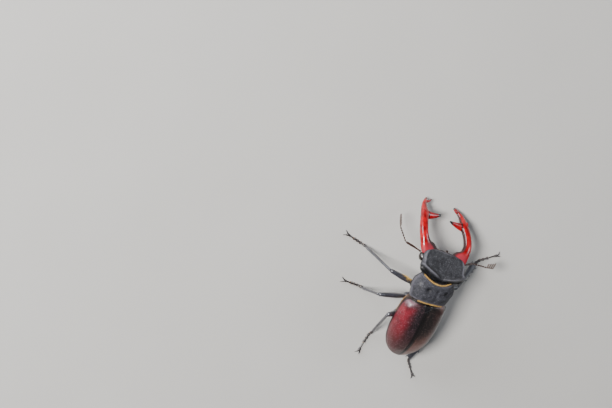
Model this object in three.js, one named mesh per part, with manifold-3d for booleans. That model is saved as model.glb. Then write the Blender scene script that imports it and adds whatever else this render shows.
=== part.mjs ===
// Male stag beetle, life size, standing with its fore body raised and its head bent down.
// Millimetres. +X is the beetle's left, -Y is ahead of it, +Z is up and the floor is z = 0.
// Each group below keeps those axes for its own part of the body: x left, y back, z up.

import * as THREE from 'three';
import { mergeVertices } from 'three/addons/utils/BufferGeometryUtils.js';
import Module from 'manifold-3d';

const wasm = await Module();
wasm.setup();

const { degToRad, lerp, smoothstep } = THREE.MathUtils;
const SIDES = { left: 1, right: -1 };

// ---------------------------------------------------------------- driving dimensions

// Clear space cut between pieces that touch.
const GAP = 0.06;

// Width left at the tip of every tooth, spine and spur, against its width at the root.
const PRONG_TIP = 0.14;

// Stance: how the three parts of the body are set against each other, in degrees.
const BASE_HEIGHT = 15.4;
const BODY_PITCH = -20;
const FORE_TURN = { yaw: -7.5, pitch: 14.9, roll: -3.3, at: [0, -0.5, 1] };
const HEAD_TURN = { yaw: -4.7, pitch: 29, roll: 1.3, at: [-0.5, -7.9, 0.3] };

// Moves the whole beetle so that its box is centred on the origin.
const CENTRE_SHIFT = [1.1, -0.7];

// Wing cases: places run from base (0) to tip (1). Each shell thins where the case gets narrow.
const ELYTRA = {
  length: 23.4,
  stations: [0, 0.04, 0.12, 0.24, 0.38, 0.52, 0.65, 0.76, 0.85, 0.92, 0.97, 1],
  halfWidth: [[0, 6.1], [0.03, 6.9], [0.1, 7.5], [0.25, 7.9], [0.45, 8.0], [0.65, 7.5],
    [0.8, 6.3], [0.9, 4.6], [0.96, 3.0], [1, 1.0]],
  top: [[0, 3.6], [0.08, 4.1], [0.35, 4.5], [0.6, 4.2], [0.8, 3.1], [0.92, 1.7], [1, 0.4]],
  edge: [[0, 0.7], [0.1, 0.1], [0.3, -0.2], [0.7, -0.3], [1, -0.3]],
  thickness: 0.65,
  thinsBelow: 3,
  minRise: 0.15,
  rim: 0.35,
  squareness: 2.35,
};

const SCUTELLUM = {
  places: [-0.1, 0.3, 0.7, 1],
  length: 2.7,
  halfWidth: 1.6,
  top: 4.05,
  climb: 0.15,
  bevel: 0.25,
  thickness: 0.8,
  bluntness: 0.03,
};

// Underside of the hind body, split where the hind legs' plate meets the abdomen.
const TRUNK = {
  front: -0.6,
  split: 10.8,
  back: 22.4,
  depth: [[-0.6, -3.8], [2.6, -5.2], [8, -5.4], [10.8, -5.1], [15.6, -4.3], [20, -3.1], [22.4, -1.3]],
  inset: 0.78,
  minRise: 0.2,
  bellySquareness: 2.2,
  sides: 18,
};

// Fore body: stations run ahead from the hind edge.
const PROTHORAX = {
  stations: [0, 0.3, 1.2, 2.7, 4.4, 5.8, 7.2, 8.1, 8.6],
  halfWidth: [[0, 6.2], [0.3, 6.7], [1.2, 6.95], [2.7, 7.2], [4.4, 7.7], [5.8, 7.55], [7.4, 6.6],
    [8.2, 6.0], [8.6, 5.6]],
  top: [[0, 2.7], [0.5, 3.2], [3, 3.8], [6, 3.6], [8, 3.0], [8.6, 2.4]],
  bottom: [[0, -3.2], [1, -4.3], [4, -5.0], [7, -4.5], [8.6, -3.4]],
  edge: -0.5,
  squareness: 2.3,
  underSquareness: 2.3,
  sides: 18,
  notch: { depth: 2.0, reach: 6.8, length: 8.6 },
};

// Head: stations run ahead from the neck. The hind crest carries two lobes with a dip between.
const HEAD = {
  stations: [-0.9, -0.3, 0.3, 0.9, 1.6, 2.4, 3.4, 4.8, 6.2, 7.4, 8.5, 9.3],
  halfWidth: [[-0.9, 4.5], [0, 5.4], [0.6, 7.4], [1.5, 8.5], [3.1, 8.7], [4.6, 8.4], [5.8, 8.5],
    [7.2, 8.0], [8.5, 6.9], [9.3, 5.3]],
  top: [[-0.9, 0.8], [0, 1.3], [2.4, 1.9], [4.5, 1.8], [6.7, 1.6], [8.3, 1.3], [9.3, 0.4]],
  bottom: [[-0.9, -2.6], [1, -4.4], [4, -5.0], [7.3, -4.3], [9.3, -2.6]],
  edge: 0.6,
  squareness: 2.9,
  underSquareness: 1.8,
  sides: 22,
  crest: {
    height: 1.55, dip: 0.65, ahead: 0.2, sweep: 2.9, length: 0.75, lobe: 4.6, endDrop: 0.9, reach: 9,
  },
};

const LABRUM = {
  halfWidth: 2.3,
  tipHalfWidth: 1.2,
  back: 8.5,
  front: 10.1,
  crown: 0.15,
  thickness: 0.9,
  thinning: 0.4,
  drop: 1.3,
  at: -0.8,
};

// Jaws: centre line as [ahead of the hinge, outward, up], then sizes against its length.
const MANDIBLE = {
  hinge: [6.3, -8.0, 0],
  open: { left: 9.5, right: -2.0 },
  line: [[-0.6, -1.2, -0.5], [2.1, 1.2, -0.2], [5.1, 2.2, -0.2], [8.5, 2.0, -1.0], [11.8, 1.1, -2.3],
    [15.0, 0.3, -4.1], [18.0, -1.8, -6.1]],
  width: [[0, 5.4], [0.09, 5.5], [0.15, 4.4], [0.22, 3.3], [0.34, 2.8], [0.62, 2.8], [0.8, 2.1], [0.93, 1.4],
    [1, 0.5]],
  depth: [[0, 2.8], [0.15, 2.8], [0.4, 2.5], [0.65, 2.2], [0.85, 1.6], [1, 0.5]],
  tooth: { at: [0.64], length: 5.4, width: 2.7, depth: 1.4, aim: [0, -1, 0.05] },
  fork: { at: [0.88], length: 2.8, width: 1.4, depth: 1.0, aim: [0.35, -1, 0.1] },
  denticles: { at: [0.5, 0.75], length: 0.8, width: 0.9, depth: 0.8, aim: [0.15, -1, 0] },
  toothSink: 0.4,
  rings: 13,
};

// Eyes sit in the sides of the head, in its own axes.
const EYE = { at: [7.75, -5.7, -0.8], radii: [1.25, 1.5, 1.35] };

// Feelers in the head's own axes: base, elbow, club base and club tip.
const ANTENNA = {
  left: [[8.0, -7.2, -1.9], [13.8, -8.8, -3.0], [16.5, -12.9, -3.6], [17.1, -15.4, -3.9]],
  right: [[-8.0, -7.2, -1.9], [-13.4, -9.6, -2.6], [-18.6, -9.8, -2.0], [-21.1, -10.1, -1.4]],
  scape: [[0, 0.68], [0.15, 0.6], [0.8, 0.84], [1, 0.68]],
  scapeBow: 0.25,
  bead: { count: 6, width: 0.66, waist: 0.33 },
  stem: 0.6,
  lamella: { length: 2.1, shortest: 0.75, width: 0.75, thickness: 0.5, lean: 0.12, from: 0.12, to: 0.92 },
  lamellae: 4,
};

// Palps and the tuft that the mouth licks sap with, under the front of the head.
const PALPS = {
  at: [2.6, -8.0, -3.2],
  line: [[0, 0, 0], [0.6, -1.2, -0.6], [1.1, -2.3, -0.9], [1.2, -3.2, -1.5]],
  width: [[0, 0.6], [0.3, 0.68], [0.36, 0.54], [0.65, 0.72], [0.7, 0.54], [1, 0.76]],
};
const MOUTH = { at: [0, -8.1, -2.9], radii: [2.3, 1.9, 1.0] };

// Legs in the floor's axes: knee, ankle and foot. Hips are set in the body's own axes.
const LEGS = {
  fore_left: {
    hip: [3.4, -2.6, -5.0], knee: [14.1, -7.3, 13.1], ankle: [18.8, -10.4, 1.9], foot: [26.5, -13.4],
  },
  fore_right: {
    hip: [-3.4, -2.6, -5.0], knee: [-13.4, -3.9, 8.5], ankle: [-20.3, -10.6, 1.9], foot: [-28.7, -14.6],
  },
  middle_left: {
    hip: [3.6, 3.2, -5.0], knee: [15.9, 1.2, 13.3], ankle: [15.9, 3.3, 1.9], foot: [23.0, 2.1],
  },
  middle_right: {
    hip: [-3.6, 3.2, -5.0], knee: [-12.4, 4.6, 6.0], ankle: [-12.0, 13.8, 1.9], foot: [-9.7, 21.0],
  },
  hind_left: {
    hip: [3.2, 10.0, -5.0], knee: [10.7, 7.5, 13.2], ankle: [8.2, 16.8, 1.9], foot: [10.9, 25.0],
  },
  hind_right: {
    hip: [-3.2, 10.0, -5.0], knee: [-9.3, 15.2, 7.4], ankle: [-6.9, 24.2, 1.9], foot: [-10.7, 30.6],
  },
};
// The outer edge of a shin faces outwards and, by this much, upwards.
const OUTER_EDGE_LEAN = 0.5;

// Half sizes of the rounded hip joints.
const COXA = { fore: [2.1, 1.5, 1.5], middle: [2.0, 1.5, 1.3], hind: [2.9, 1.3, 1.2] };

const FEMUR = {
  start: 1.0,
  width: [[0, 1.3], [0.12, 1.7], [0.45, 2.5], [0.8, 2.0], [1, 1.5]],
  depth: [[0, 1.1], [0.12, 1.4], [0.45, 1.8], [0.8, 1.5], [1, 1.2]],
};

// Shins carry a few spines on the outer edge and end in spurs, two on the fore legs and one on the rest.
const TIBIA = {
  fore: {
    width: [[0, 1.1], [0.15, 1.25], [0.7, 1.9], [0.92, 2.4], [1, 1.5]],
    depth: [[0, 1.0], [0.6, 1.0], [1, 0.8]],
    spines: [0.56, 0.74, 0.92],
    spurs: [0.6, -0.6],
  },
  middle: {
    width: [[0, 1.0], [0.2, 1.1], [0.8, 1.5], [1, 1.3]],
    depth: [[0, 0.95], [0.6, 1.0], [1, 0.9]],
    spines: [0.42, 0.68],
    spurs: [-0.6],
  },
  spine: { length: 1.0, width: 0.8, depth: 0.6, lean: 0.7, sink: 0.35 },
  spur: { length: 1.5, width: 0.8, depth: 0.6, at: 0.94, splay: 0.5 },
};
TIBIA.hind = { ...TIBIA.middle, spines: [0.6] };

// Feet: five joints, flattened where they meet the floor, and two claws on the last one.
const TARSUS = {
  joints: [0, 0.16, 0.31, 0.46, 0.62, 1],
  waist: { at: 0.06, radius: 0.32 },
  bulge: { at: 0.86, radius: 0.5 },
  lastSlim: 0.85,
  sides: 6,
  axisHeight: 0.4,
  settles: 0.28,
  lift: { from: 0.75, rise: 0.25 },
  claw: { at: 0.92, length: 1.5, width: 0.48, thin: 0.6, spread: [0.5, 0.95], arch: 0.15, tip: 0.2 },
};

const COLOURS = {
  black: { color: '#15120f', roughness: 0.45, metalness: 0 },
  dull: { color: '#26241f', roughness: 0.75, metalness: 0 },
  maroon: { color: '#4a100e', roughness: 0.35, metalness: 0 },
  red: { color: '#8f0d10', roughness: 0.25, metalness: 0 },
  amber: { color: '#6d4a14', roughness: 0.7, metalness: 0 },
};

// ---------------------------------------------------------------- curves and solids

// A smooth curve through a few [place, size] stops that never overshoots them.
function profile(stops) {
  const slope = (i) => (stops[i + 1][1] - stops[i][1]) / (stops[i + 1][0] - stops[i][0]);
  const tangent = (i) => {
    if (i === 0) return slope(0);
    if (i === stops.length - 1) return slope(i - 1);
    const [before, after] = [slope(i - 1), slope(i)];
    return before * after <= 0 ? 0 : (2 * before * after) / (before + after);
  };
  return (place) => {
    const last = stops.length - 1;
    if (place <= stops[0][0]) return stops[0][1];
    if (place >= stops[last][0]) return stops[last][1];
    const i = stops.findIndex(([end]) => end > place) - 1;
    const span = stops[i + 1][0] - stops[i][0];
    const t = (place - stops[i][0]) / span;
    const [t2, t3] = [t * t, t * t * t];
    return (2 * t3 - 3 * t2 + 1) * stops[i][1] + (t3 - 2 * t2 + t) * span * tangent(i)
      + (3 * t2 - 2 * t3) * stops[i + 1][1] + (t3 - t2) * span * tangent(i + 1);
  };
}

const steps = (count) => Array.from({ length: count + 1 }, (_, i) => i / count);

// cos or sin bent towards a square, for cross-sections between an ellipse and a box.
const bent = (value, squareness) => Math.sign(value) * Math.abs(value) ** (2 / squareness);

function volumeOf(points, index) {
  let sum = 0;
  for (let i = 0; i < index.length; i += 3) {
    const [a, b, c] = [points[index[i]], points[index[i + 1]], points[index[i + 2]]];
    sum += a.dot(new THREE.Vector3().crossVectors(b, c)) / 6;
  }
  return sum;
}

// One closed skin through a row of rings. The ends close across, from each point to its partner.
function loft(rings) {
  const sides = rings[0].length;
  const index = [];
  for (let i = 0; i + 1 < rings.length; i += 1) {
    for (let j = 0; j < sides; j += 1) {
      const [a, b] = [i * sides + j, i * sides + ((j + 1) % sides)];
      index.push(a, b, b + sides, a, b + sides, a + sides);
    }
  }
  for (const [start, flip] of [[0, true], [(rings.length - 1) * sides, false]]) {
    for (let j = 0; j + 1 < sides / 2; j += 1) {
      const [a, b, c, d] = [start + j, start + j + 1, start + sides - 2 - j, start + sides - 1 - j];
      const faces = b === c ? [a, b, d] : [a, b, c, a, c, d];
      index.push(...(flip ? faces.reverse() : faces));
    }
  }
  const points = rings.flat();
  if (volumeOf(points, index) < 0) index.reverse();
  const geometry = new THREE.BufferGeometry().setFromPoints(points);
  geometry.setIndex(index);
  return geometry;
}

const UP = new THREE.Vector3(0, 0, 1);
const vector = (point) => new THREE.Vector3(...point);
const curveThrough = (line) => new THREE.CatmullRomCurve3(line);

// Evenly spaced angles round a section, the first one half a step on from zero.
const roundAngles = (sides) => Array.from({ length: sides }, (_, j) => ((j + 0.5) / sides) * 2 * Math.PI);

// A round-sided bar along a line of points; width lies across `flat`, depth along it.
function bar(line, width, depth, { rings, sides, flat = UP }) {
  const curve = curveThrough(line);
  return loft(steps(rings).map((t) => {
    const centre = curve.getPointAt(t);
    const along = curve.getTangentAt(t);
    const across = new THREE.Vector3().crossVectors(along, flat).normalize();
    const up = new THREE.Vector3().crossVectors(across, along);
    return roundAngles(sides).map((angle) => centre.clone()
      .addScaledVector(across, (Math.cos(angle) * width(t)) / 2)
      .addScaledVector(up, (Math.sin(angle) * depth(t)) / 2));
  }));
}

// A tapering prong from `root` towards `aim`, sunk a little into what carries it.
function prong(root, aim, { length, width, depth }, flat = UP) {
  const direction = aim.clone().normalize();
  const from = root.clone().addScaledVector(direction, -width / 2);
  const to = root.clone().addScaledVector(direction, length);
  const taper = (size) => (t) => lerp(size, size * PRONG_TIP, t);
  return bar([from, to], taper(width), taper(depth), { rings: 1, sides: 4, flat });
}

function ellipsoid([x, y, z], sides = 8, rows = 4) {
  return new THREE.SphereGeometry(1, sides, rows).scale(x, y, z);
}

// The same surface with its shared corners merged, as the cutting needs it.
function sealed(geometry) {
  const bare = geometry.clone();
  bare.deleteAttribute('normal');
  bare.deleteAttribute('uv');
  return mergeVertices(bare, 1e-5);
}

function toSolid(geometry) {
  const merged = sealed(geometry);
  return new wasm.Manifold(new wasm.Mesh({
    numProp: 3,
    vertProperties: new Float32Array(merged.attributes.position.array),
    triVerts: new Uint32Array(merged.index.array),
  }));
}

function toGeometry(solid) {
  const mesh = solid.getMesh();
  const geometry = new THREE.BufferGeometry();
  geometry.setAttribute('position', new THREE.BufferAttribute(mesh.vertProperties, 3));
  geometry.setIndex(new THREE.BufferAttribute(mesh.triVerts, 1));
  return geometry;
}

const join = (...geometries) => toGeometry(geometries.map(toSolid).reduce((sum, next) => sum.add(next)));

// Swells a geometry by moving each corner out along its normal.
function swollen(geometry, gap) {
  const merged = sealed(geometry);
  merged.computeVertexNormals();
  const { position, normal } = merged.attributes;
  position.array.set(position.array.map((value, i) => value + gap * normal.array[i]));
  return merged;
}

// Cuts a placed piece back so that it stays clear of its placed neighbours.
function clear(piece, ...neighbours) {
  piece.updateWorldMatrix(true, false);
  const home = piece.matrixWorld.clone().invert();
  let solid = toSolid(piece.geometry);
  for (const neighbour of neighbours) {
    neighbour.updateWorldMatrix(true, false);
    const tool = swollen(neighbour.geometry, GAP).applyMatrix4(neighbour.matrixWorld).applyMatrix4(home);
    solid = solid.subtract(toSolid(tool));
  }
  const largest = solid.decompose().sort((a, b) => b.volume() - a.volume())[0];
  piece.geometry = toGeometry(largest);
}

function piece(name, geometry, colour, parent) {
  const mesh = new THREE.Mesh(geometry, new THREE.MeshStandardMaterial(COLOURS[colour]));
  mesh.name = name;
  parent.add(mesh);
  return mesh;
}

// ---------------------------------------------------------------- body groups

const beetle = new THREE.Group();
beetle.position.set(...CENTRE_SHIFT, 0);

const hindBody = new THREE.Group();
hindBody.position.set(0, 0, BASE_HEIGHT);
hindBody.rotation.set(degToRad(BODY_PITCH), 0, 0);
beetle.add(hindBody);

function jointed({ yaw, pitch, roll, at }, parent) {
  const group = new THREE.Group();
  group.position.set(...at);
  group.rotation.set(degToRad(pitch), degToRad(roll), degToRad(yaw), 'ZXY');
  parent.add(group);
  return group;
}

const foreBody = jointed(FORE_TURN, hindBody);
const headGroup = jointed(HEAD_TURN, foreBody);

// ---------------------------------------------------------------- wing cases and scutellum

const elytronWidth = profile(ELYTRA.halfWidth);
const elytronTop = profile(ELYTRA.top);
const elytronEdge = profile(ELYTRA.edge);

// A point of the wing case's cross-section, from the seam (angle 0) to the outer edge.
function elytronPoint(side, station, angle, inset) {
  const width = elytronWidth(station) - inset;
  const edge = elytronEdge(station);
  const rise = Math.max(elytronTop(station) - inset - edge, ELYTRA.minRise);
  const x = Math.max(width * bent(Math.sin(angle), ELYTRA.squareness), GAP);
  const z = edge + rise * bent(Math.cos(angle), ELYTRA.squareness);
  return new THREE.Vector3(side * x, station * ELYTRA.length, z);
}

function elytron(side) {
  const angles = steps(6).map((t) => (t * Math.PI) / 2);
  return loft(ELYTRA.stations.map((station) => {
    const thickness = ELYTRA.thickness * Math.min(1, elytronWidth(station) / ELYTRA.thinsBelow);
    const outer = angles.map((angle) => elytronPoint(side, station, angle, 0));
    const inner = angles.map((angle) => elytronPoint(side, station, angle, thickness));
    for (const row of [outer, inner]) {
      const last = row.at(-1);
      row.push(last.clone().setZ(last.z - ELYTRA.rim));
    }
    return [...outer, ...inner.reverse()];
  }));
}

// A low roof section across x, given as half width, height and thickness.
function roofRing(y, half, height, bevel, thickness) {
  return [[half, height - bevel], [half / 2, height], [-half / 2, height], [-half, height - bevel],
    [-half, height - thickness], [half, height - thickness]]
    .map(([x, z]) => new THREE.Vector3(x, y, z));
}

// The small shield between the wing cases, pointed behind.
function scutellum() {
  const { places, length, halfWidth, top, climb, bevel, thickness, bluntness } = SCUTELLUM;
  const half = (t) => halfWidth * Math.sqrt(Math.max(1 - t, bluntness));
  return loft(places.map((t) => roofRing(t * length, half(t), top + climb * t, bevel, thickness)));
}

const shield = piece('scutellum', scutellum(), 'black', hindBody);
const cases = Object.entries(SIDES).map(([name, side]) => {
  const mesh = piece(`elytron_${name}`, elytron(side), 'maroon', hindBody);
  clear(mesh, shield);
  return mesh;
});

// ---------------------------------------------------------------- underside of the hind body

const trunkDepth = profile(TRUNK.depth);

// One ring of the hind body: its upper half fits inside the wing cases, its lower half is the belly.
function trunkRing(y) {
  const station = THREE.MathUtils.clamp(y / ELYTRA.length, 0, 1);
  const half = elytronWidth(station) - TRUNK.inset;
  const edge = elytronEdge(station) - ELYTRA.rim;
  const rise = Math.max(elytronTop(station) - TRUNK.inset - edge, TRUNK.minRise);
  return roundAngles(TRUNK.sides).map((angle) => {
    const up = Math.sin(angle) > 0;
    const squareness = up ? ELYTRA.squareness : TRUNK.bellySquareness;
    const reach = up ? rise : edge - trunkDepth(y);
    return new THREE.Vector3(half * bent(Math.cos(angle), squareness), y,
      edge + reach * bent(Math.sin(angle), squareness));
  });
}

const trunkLength = (from, to, count) => loft(steps(count).map((t) => trunkRing(lerp(from, to, t))));

const trunk = piece('thorax', trunkLength(TRUNK.front, TRUNK.split - GAP, 5), 'black', hindBody);
const abdomen = piece('abdomen', trunkLength(TRUNK.split, TRUNK.back, 6), 'black', hindBody);

// ---------------------------------------------------------------- fore body

// How far the middle of the fore shield's front margin is set back, to make room for the head.
function notchDepth(x, ahead, angle) {
  const { depth, reach, length } = PROTHORAX.notch;
  const middle = Math.max(1 - (x / reach) ** 2, 0);
  return depth * middle * Math.max(ahead / length, 0) ** 4 * Math.sqrt(Math.max(Math.sin(angle), 0));
}

// A plate-armoured length of the fore body, one ring for each station ahead of its hind edge.
function armoured({ stations, edge, squareness, underSquareness, sides, ...sizes }, raise = () => 0,
  setBack = () => 0) {
  const [halfWidth, top, bottom] = [sizes.halfWidth, sizes.top, sizes.bottom].map(profile);
  return loft(stations.map((ahead) => roundAngles(sides).map((angle) => {
    const up = Math.sin(angle) > 0;
    const roundness = up ? squareness : underSquareness;
    const x = halfWidth(ahead) * bent(Math.cos(angle), roundness);
    const reach = up ? top(ahead) - edge : edge - bottom(ahead);
    const z = edge + reach * bent(Math.sin(angle), roundness) + (up ? raise(x, ahead) : 0);
    return new THREE.Vector3(x, setBack(x, ahead, angle) - ahead, z);
  })));
}

const foreShield = piece('prothorax', armoured(PROTHORAX, undefined, notchDepth), 'dull', foreBody);

// ---------------------------------------------------------------- head

// Height of the raised hind crest above the brow at one place on the head.
function crestRise(x, ahead) {
  const { height, dip, ahead: centre, sweep, length, lobe, endDrop, reach } = HEAD.crest;
  const line = centre + sweep * (x / reach) ** 2;
  const fullness = height - dip * Math.exp(-((x / (lobe / 2)) ** 2)) - endDrop * Math.abs(x / reach) ** 3;
  return fullness * Math.exp(-(((ahead - line) / length) ** 2));
}

function labrum() {
  const { halfWidth, tipHalfWidth, back, front, crown, thickness, thinning, drop, at } = LABRUM;
  return loft(steps(3).map((t) => {
    const half = lerp(halfWidth, tipHalfWidth, t ** 2);
    const top = at - drop * t + crown;
    return roofRing(-lerp(back, front, t), half, top, crown, thickness * (1 - thinning * t) + crown);
  }));
}

function eye(side) {
  const [x, y, z] = EYE.at;
  return ellipsoid(EYE.radii).translate(side * x, y, z);
}

const skull = piece('head', armoured(HEAD, crestRise), 'dull', headGroup);
const lip = piece('labrum', labrum(), 'dull', headGroup);
const eyes = Object.entries(SIDES).map(([name, side]) => piece(`eye_${name}`, eye(side), 'black', headGroup));

// ---------------------------------------------------------------- jaws

function mandible(side) {
  const placed = ([ahead, out, up]) => new THREE.Vector3(side * out, -ahead, up);
  const line = MANDIBLE.line.map(placed);
  const curve = curveThrough(line);
  const [width, depth] = [MANDIBLE.width, MANDIBLE.depth].map(profile);
  const blade = bar(line, width, depth, { rings: MANDIBLE.rings, sides: 8 });
  const teeth = [MANDIBLE.tooth, MANDIBLE.fork, MANDIBLE.denticles].flatMap(({ at, aim, ...size }) => {
    const towards = placed(aim).normalize();
    return at.map((t) => {
      const root = curve.getPointAt(t).addScaledVector(towards, width(t) * MANDIBLE.toothSink);
      return prong(root, towards, size);
    });
  });
  return join(blade, ...teeth);
}

const jaws = Object.entries(SIDES).map(([name, side]) => {
  const mesh = piece(`mandible_${name}`, mandible(side), 'red', headGroup);
  const [x, y, z] = MANDIBLE.hinge;
  mesh.position.set(side * x, y, z);
  mesh.rotation.z = side * degToRad(MANDIBLE.open[name]);
  return mesh;
});

// ---------------------------------------------------------------- feelers, palps and mouth

// The feeler's thin middle length, swelling at each of its beads.
function funicle(from, to) {
  const { count, width, waist } = ANTENNA.bead;
  const thickness = (t) => lerp(waist, width, 0.5 - 0.5 * Math.cos(t * count * 2 * Math.PI));
  return bar([from, to], thickness, thickness, { rings: count * 2, sides: 5 });
}

// The club's leaves lie side by side like short fingers, all pointing to one side.
function club(start, end) {
  const out = new THREE.Vector3(0, -1, 0);
  const { length, shortest, width, thickness, lean, from, to } = ANTENNA.lamella;
  out.addScaledVector(end.clone().sub(start), lean).normalize();
  const stemWidth = () => ANTENNA.stem;
  const stem = bar([start, end], stemWidth, stemWidth, { rings: 2, sides: 5 });
  const leaves = steps(ANTENNA.lamellae - 1).map((t) => {
    const root = start.clone().lerp(end, lerp(from, to, t));
    const tip = root.clone().addScaledVector(out, length * lerp(shortest, 1, t));
    return bar([root, tip], profile([[0, thickness], [0.5, width], [1, thickness]]), () => thickness,
      { rings: 2, sides: 4 });
  });
  return join(stem, ...leaves);
}

const scapes = Object.keys(SIDES).map((name) => {
  const [base, elbow, clubBase, tip] = ANTENNA[name].map(vector);
  const thickness = profile(ANTENNA.scape);
  const middle = base.clone().lerp(elbow, 0.5).addScaledVector(UP, ANTENNA.scapeBow);
  const stalk = bar([base, middle, elbow], thickness, thickness, { rings: 4, sides: 6 });
  const scape = piece(`antenna_${name}_scape`, stalk, 'black', headGroup);
  const beads = piece(`antenna_${name}_funicle`, funicle(elbow, clubBase), 'black', headGroup);
  const fan = piece(`antenna_${name}_club`, club(clubBase, tip), 'black', headGroup);
  clear(beads, scape);
  clear(fan, beads);
  return scape;
});

const mouth = piece('mouth', ellipsoid(MOUTH.radii).translate(...MOUTH.at), 'amber', headGroup);
const palps = Object.entries(SIDES).map(([name, side]) => {
  const thickness = profile(PALPS.width);
  const line = PALPS.line.map(([x, y, z]) => new THREE.Vector3(side * x, y, z));
  const feeler = bar(line, thickness, thickness, { rings: 6, sides: 5 });
  const mesh = piece(`palp_${name}`, feeler, 'black', headGroup);
  mesh.position.set(side * PALPS.at[0], PALPS.at[1], PALPS.at[2]);
  clear(mesh, mouth);
  return mesh;
});

for (const jaw of jaws) clear(jaw, mouth, lip, ...palps, ...eyes, ...scapes);
clear(skull, lip, mouth, ...jaws, ...eyes, ...scapes, ...palps);
clear(foreShield, skull);
for (const cover of [shield, ...cases]) clear(cover, foreShield);
clear(trunk, foreShield, ...cases, shield);
clear(abdomen, ...cases);

// ---------------------------------------------------------------- legs

const midway = (from, to) => from.clone().lerp(to, 0.5);

function thigh(hip, knee, bendAxis) {
  const start = hip.clone().addScaledVector(knee.clone().sub(hip).normalize(), FEMUR.start);
  return bar([start, midway(start, knee), knee], profile(FEMUR.width), profile(FEMUR.depth),
    { rings: 5, sides: 8, flat: bendAxis });
}

// The shin with its spines; `outward` is square to it, on the outer edge.
function shin(pair, knee, ankle, bendAxis, outward) {
  const { spines, spurs, ...sizes } = TIBIA[pair];
  const [width, depth] = [sizes.width, sizes.depth].map(profile);
  const along = ankle.clone().sub(knee).normalize();
  const { spine, spur } = TIBIA;
  const blade = bar([knee, midway(knee, ankle), ankle], width, depth, { rings: 4, sides: 7, flat: bendAxis });
  const edgeSpines = spines.map((t) => {
    const root = knee.clone().lerp(ankle, t).addScaledVector(outward, width(t) * spine.sink);
    return prong(root, outward.clone().addScaledVector(along, spine.lean), spine, bendAxis);
  });
  const endSpurs = spurs.map((lean) => {
    const root = knee.clone().lerp(ankle, spur.at).addScaledVector(outward, lean);
    return prong(root, along.clone().addScaledVector(outward, lean * spur.splay), spur, bendAxis);
  });
  return join(blade, ...edgeSpines, ...endSpurs);
}

// The foot's joints in a row on the floor, each wider towards its end, then two hooked claws.
function tarsus(ankle, foot) {
  const { joints, waist, bulge, lastSlim, sides, axisHeight, settles, lift, claw } = TARSUS;
  const forward = foot.clone().sub(ankle).setZ(0).normalize();
  const across = new THREE.Vector3().crossVectors(UP, forward);
  const centre = (t) => {
    const settled = lerp(ankle.z, axisHeight, smoothstep(t, 0, settles));
    return ankle.clone().lerp(foot, t).setZ(settled + lift.rise * smoothstep(t, lift.from, 1));
  };
  const rings = joints.slice(1).flatMap((end, i) => [waist, bulge].map(({ at, radius }) => {
    const middle = centre(lerp(joints[i], end, at));
    const size = end === joints.at(-1) ? radius * lastSlim : radius;
    return roundAngles(sides).map((angle) => {
      const point = middle.clone().addScaledVector(across, size * Math.cos(angle));
      return point.setZ(Math.max(point.z + size * Math.sin(angle), 0));
    });
  }));
  const claws = [1, -1].map((lean) => {
    const root = centre(claw.at);
    const reach = (share, spread) => root.clone()
      .addScaledVector(forward, claw.length * share)
      .addScaledVector(across, lean * spread);
    const bend = reach(0.6, claw.spread[0]).addScaledVector(UP, claw.arch);
    const width = (t) => claw.width * (1 - claw.thin * t);
    return bar([root, bend, reach(1, claw.spread[1]).setZ(claw.tip)], width, width, { rings: 2, sides: 5 });
  });
  return join(loft(rings), ...claws);
}

const shell = [foreShield, trunk, abdomen, skull, ...cases];

for (const [name, { hip, knee: kneeAt, ankle: ankleAt, foot: footAt }] of Object.entries(LEGS)) {
  const [pair, sideName] = name.split('_');
  const body = pair === 'fore' ? foreBody : hindBody;
  body.updateWorldMatrix(true, false);
  const hipPoint = vector(hip).applyMatrix4(body.matrixWorld).sub(beetle.position);
  const [knee, ankle, foot] = [kneeAt, ankleAt, [...footAt, TARSUS.axisHeight]].map(vector);

  // The thigh and shin bend in one plane; its axis also sets which way their flat sides face.
  const shinLine = ankle.clone().sub(knee).normalize();
  const bendAxis = new THREE.Vector3().crossVectors(knee.clone().sub(hipPoint), shinLine).normalize();
  const outward = new THREE.Vector3().crossVectors(shinLine, bendAxis).normalize();
  if (outward.dot(new THREE.Vector3(SIDES[sideName], 0, OUTER_EDGE_LEAN)) < 0) outward.negate();

  const coxa = piece(`${name}_coxa`, ellipsoid(COXA[pair]).translate(...hip), 'black', body);
  const femur = piece(`${name}_femur`, thigh(hipPoint, knee, bendAxis), 'black', beetle);
  const tibia = piece(`${name}_tibia`, shin(pair, knee, ankle, bendAxis, outward), 'black', beetle);
  const feet = piece(`${name}_tarsus`, tarsus(ankle, foot), 'black', beetle);

  clear(femur, tibia, ...shell);
  clear(tibia, feet);
  clear(coxa, femur, ...shell);
}

export default beetle;
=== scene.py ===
from math import radians

import bpy
import numpy as np
from mathutils import Matrix, Vector


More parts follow.
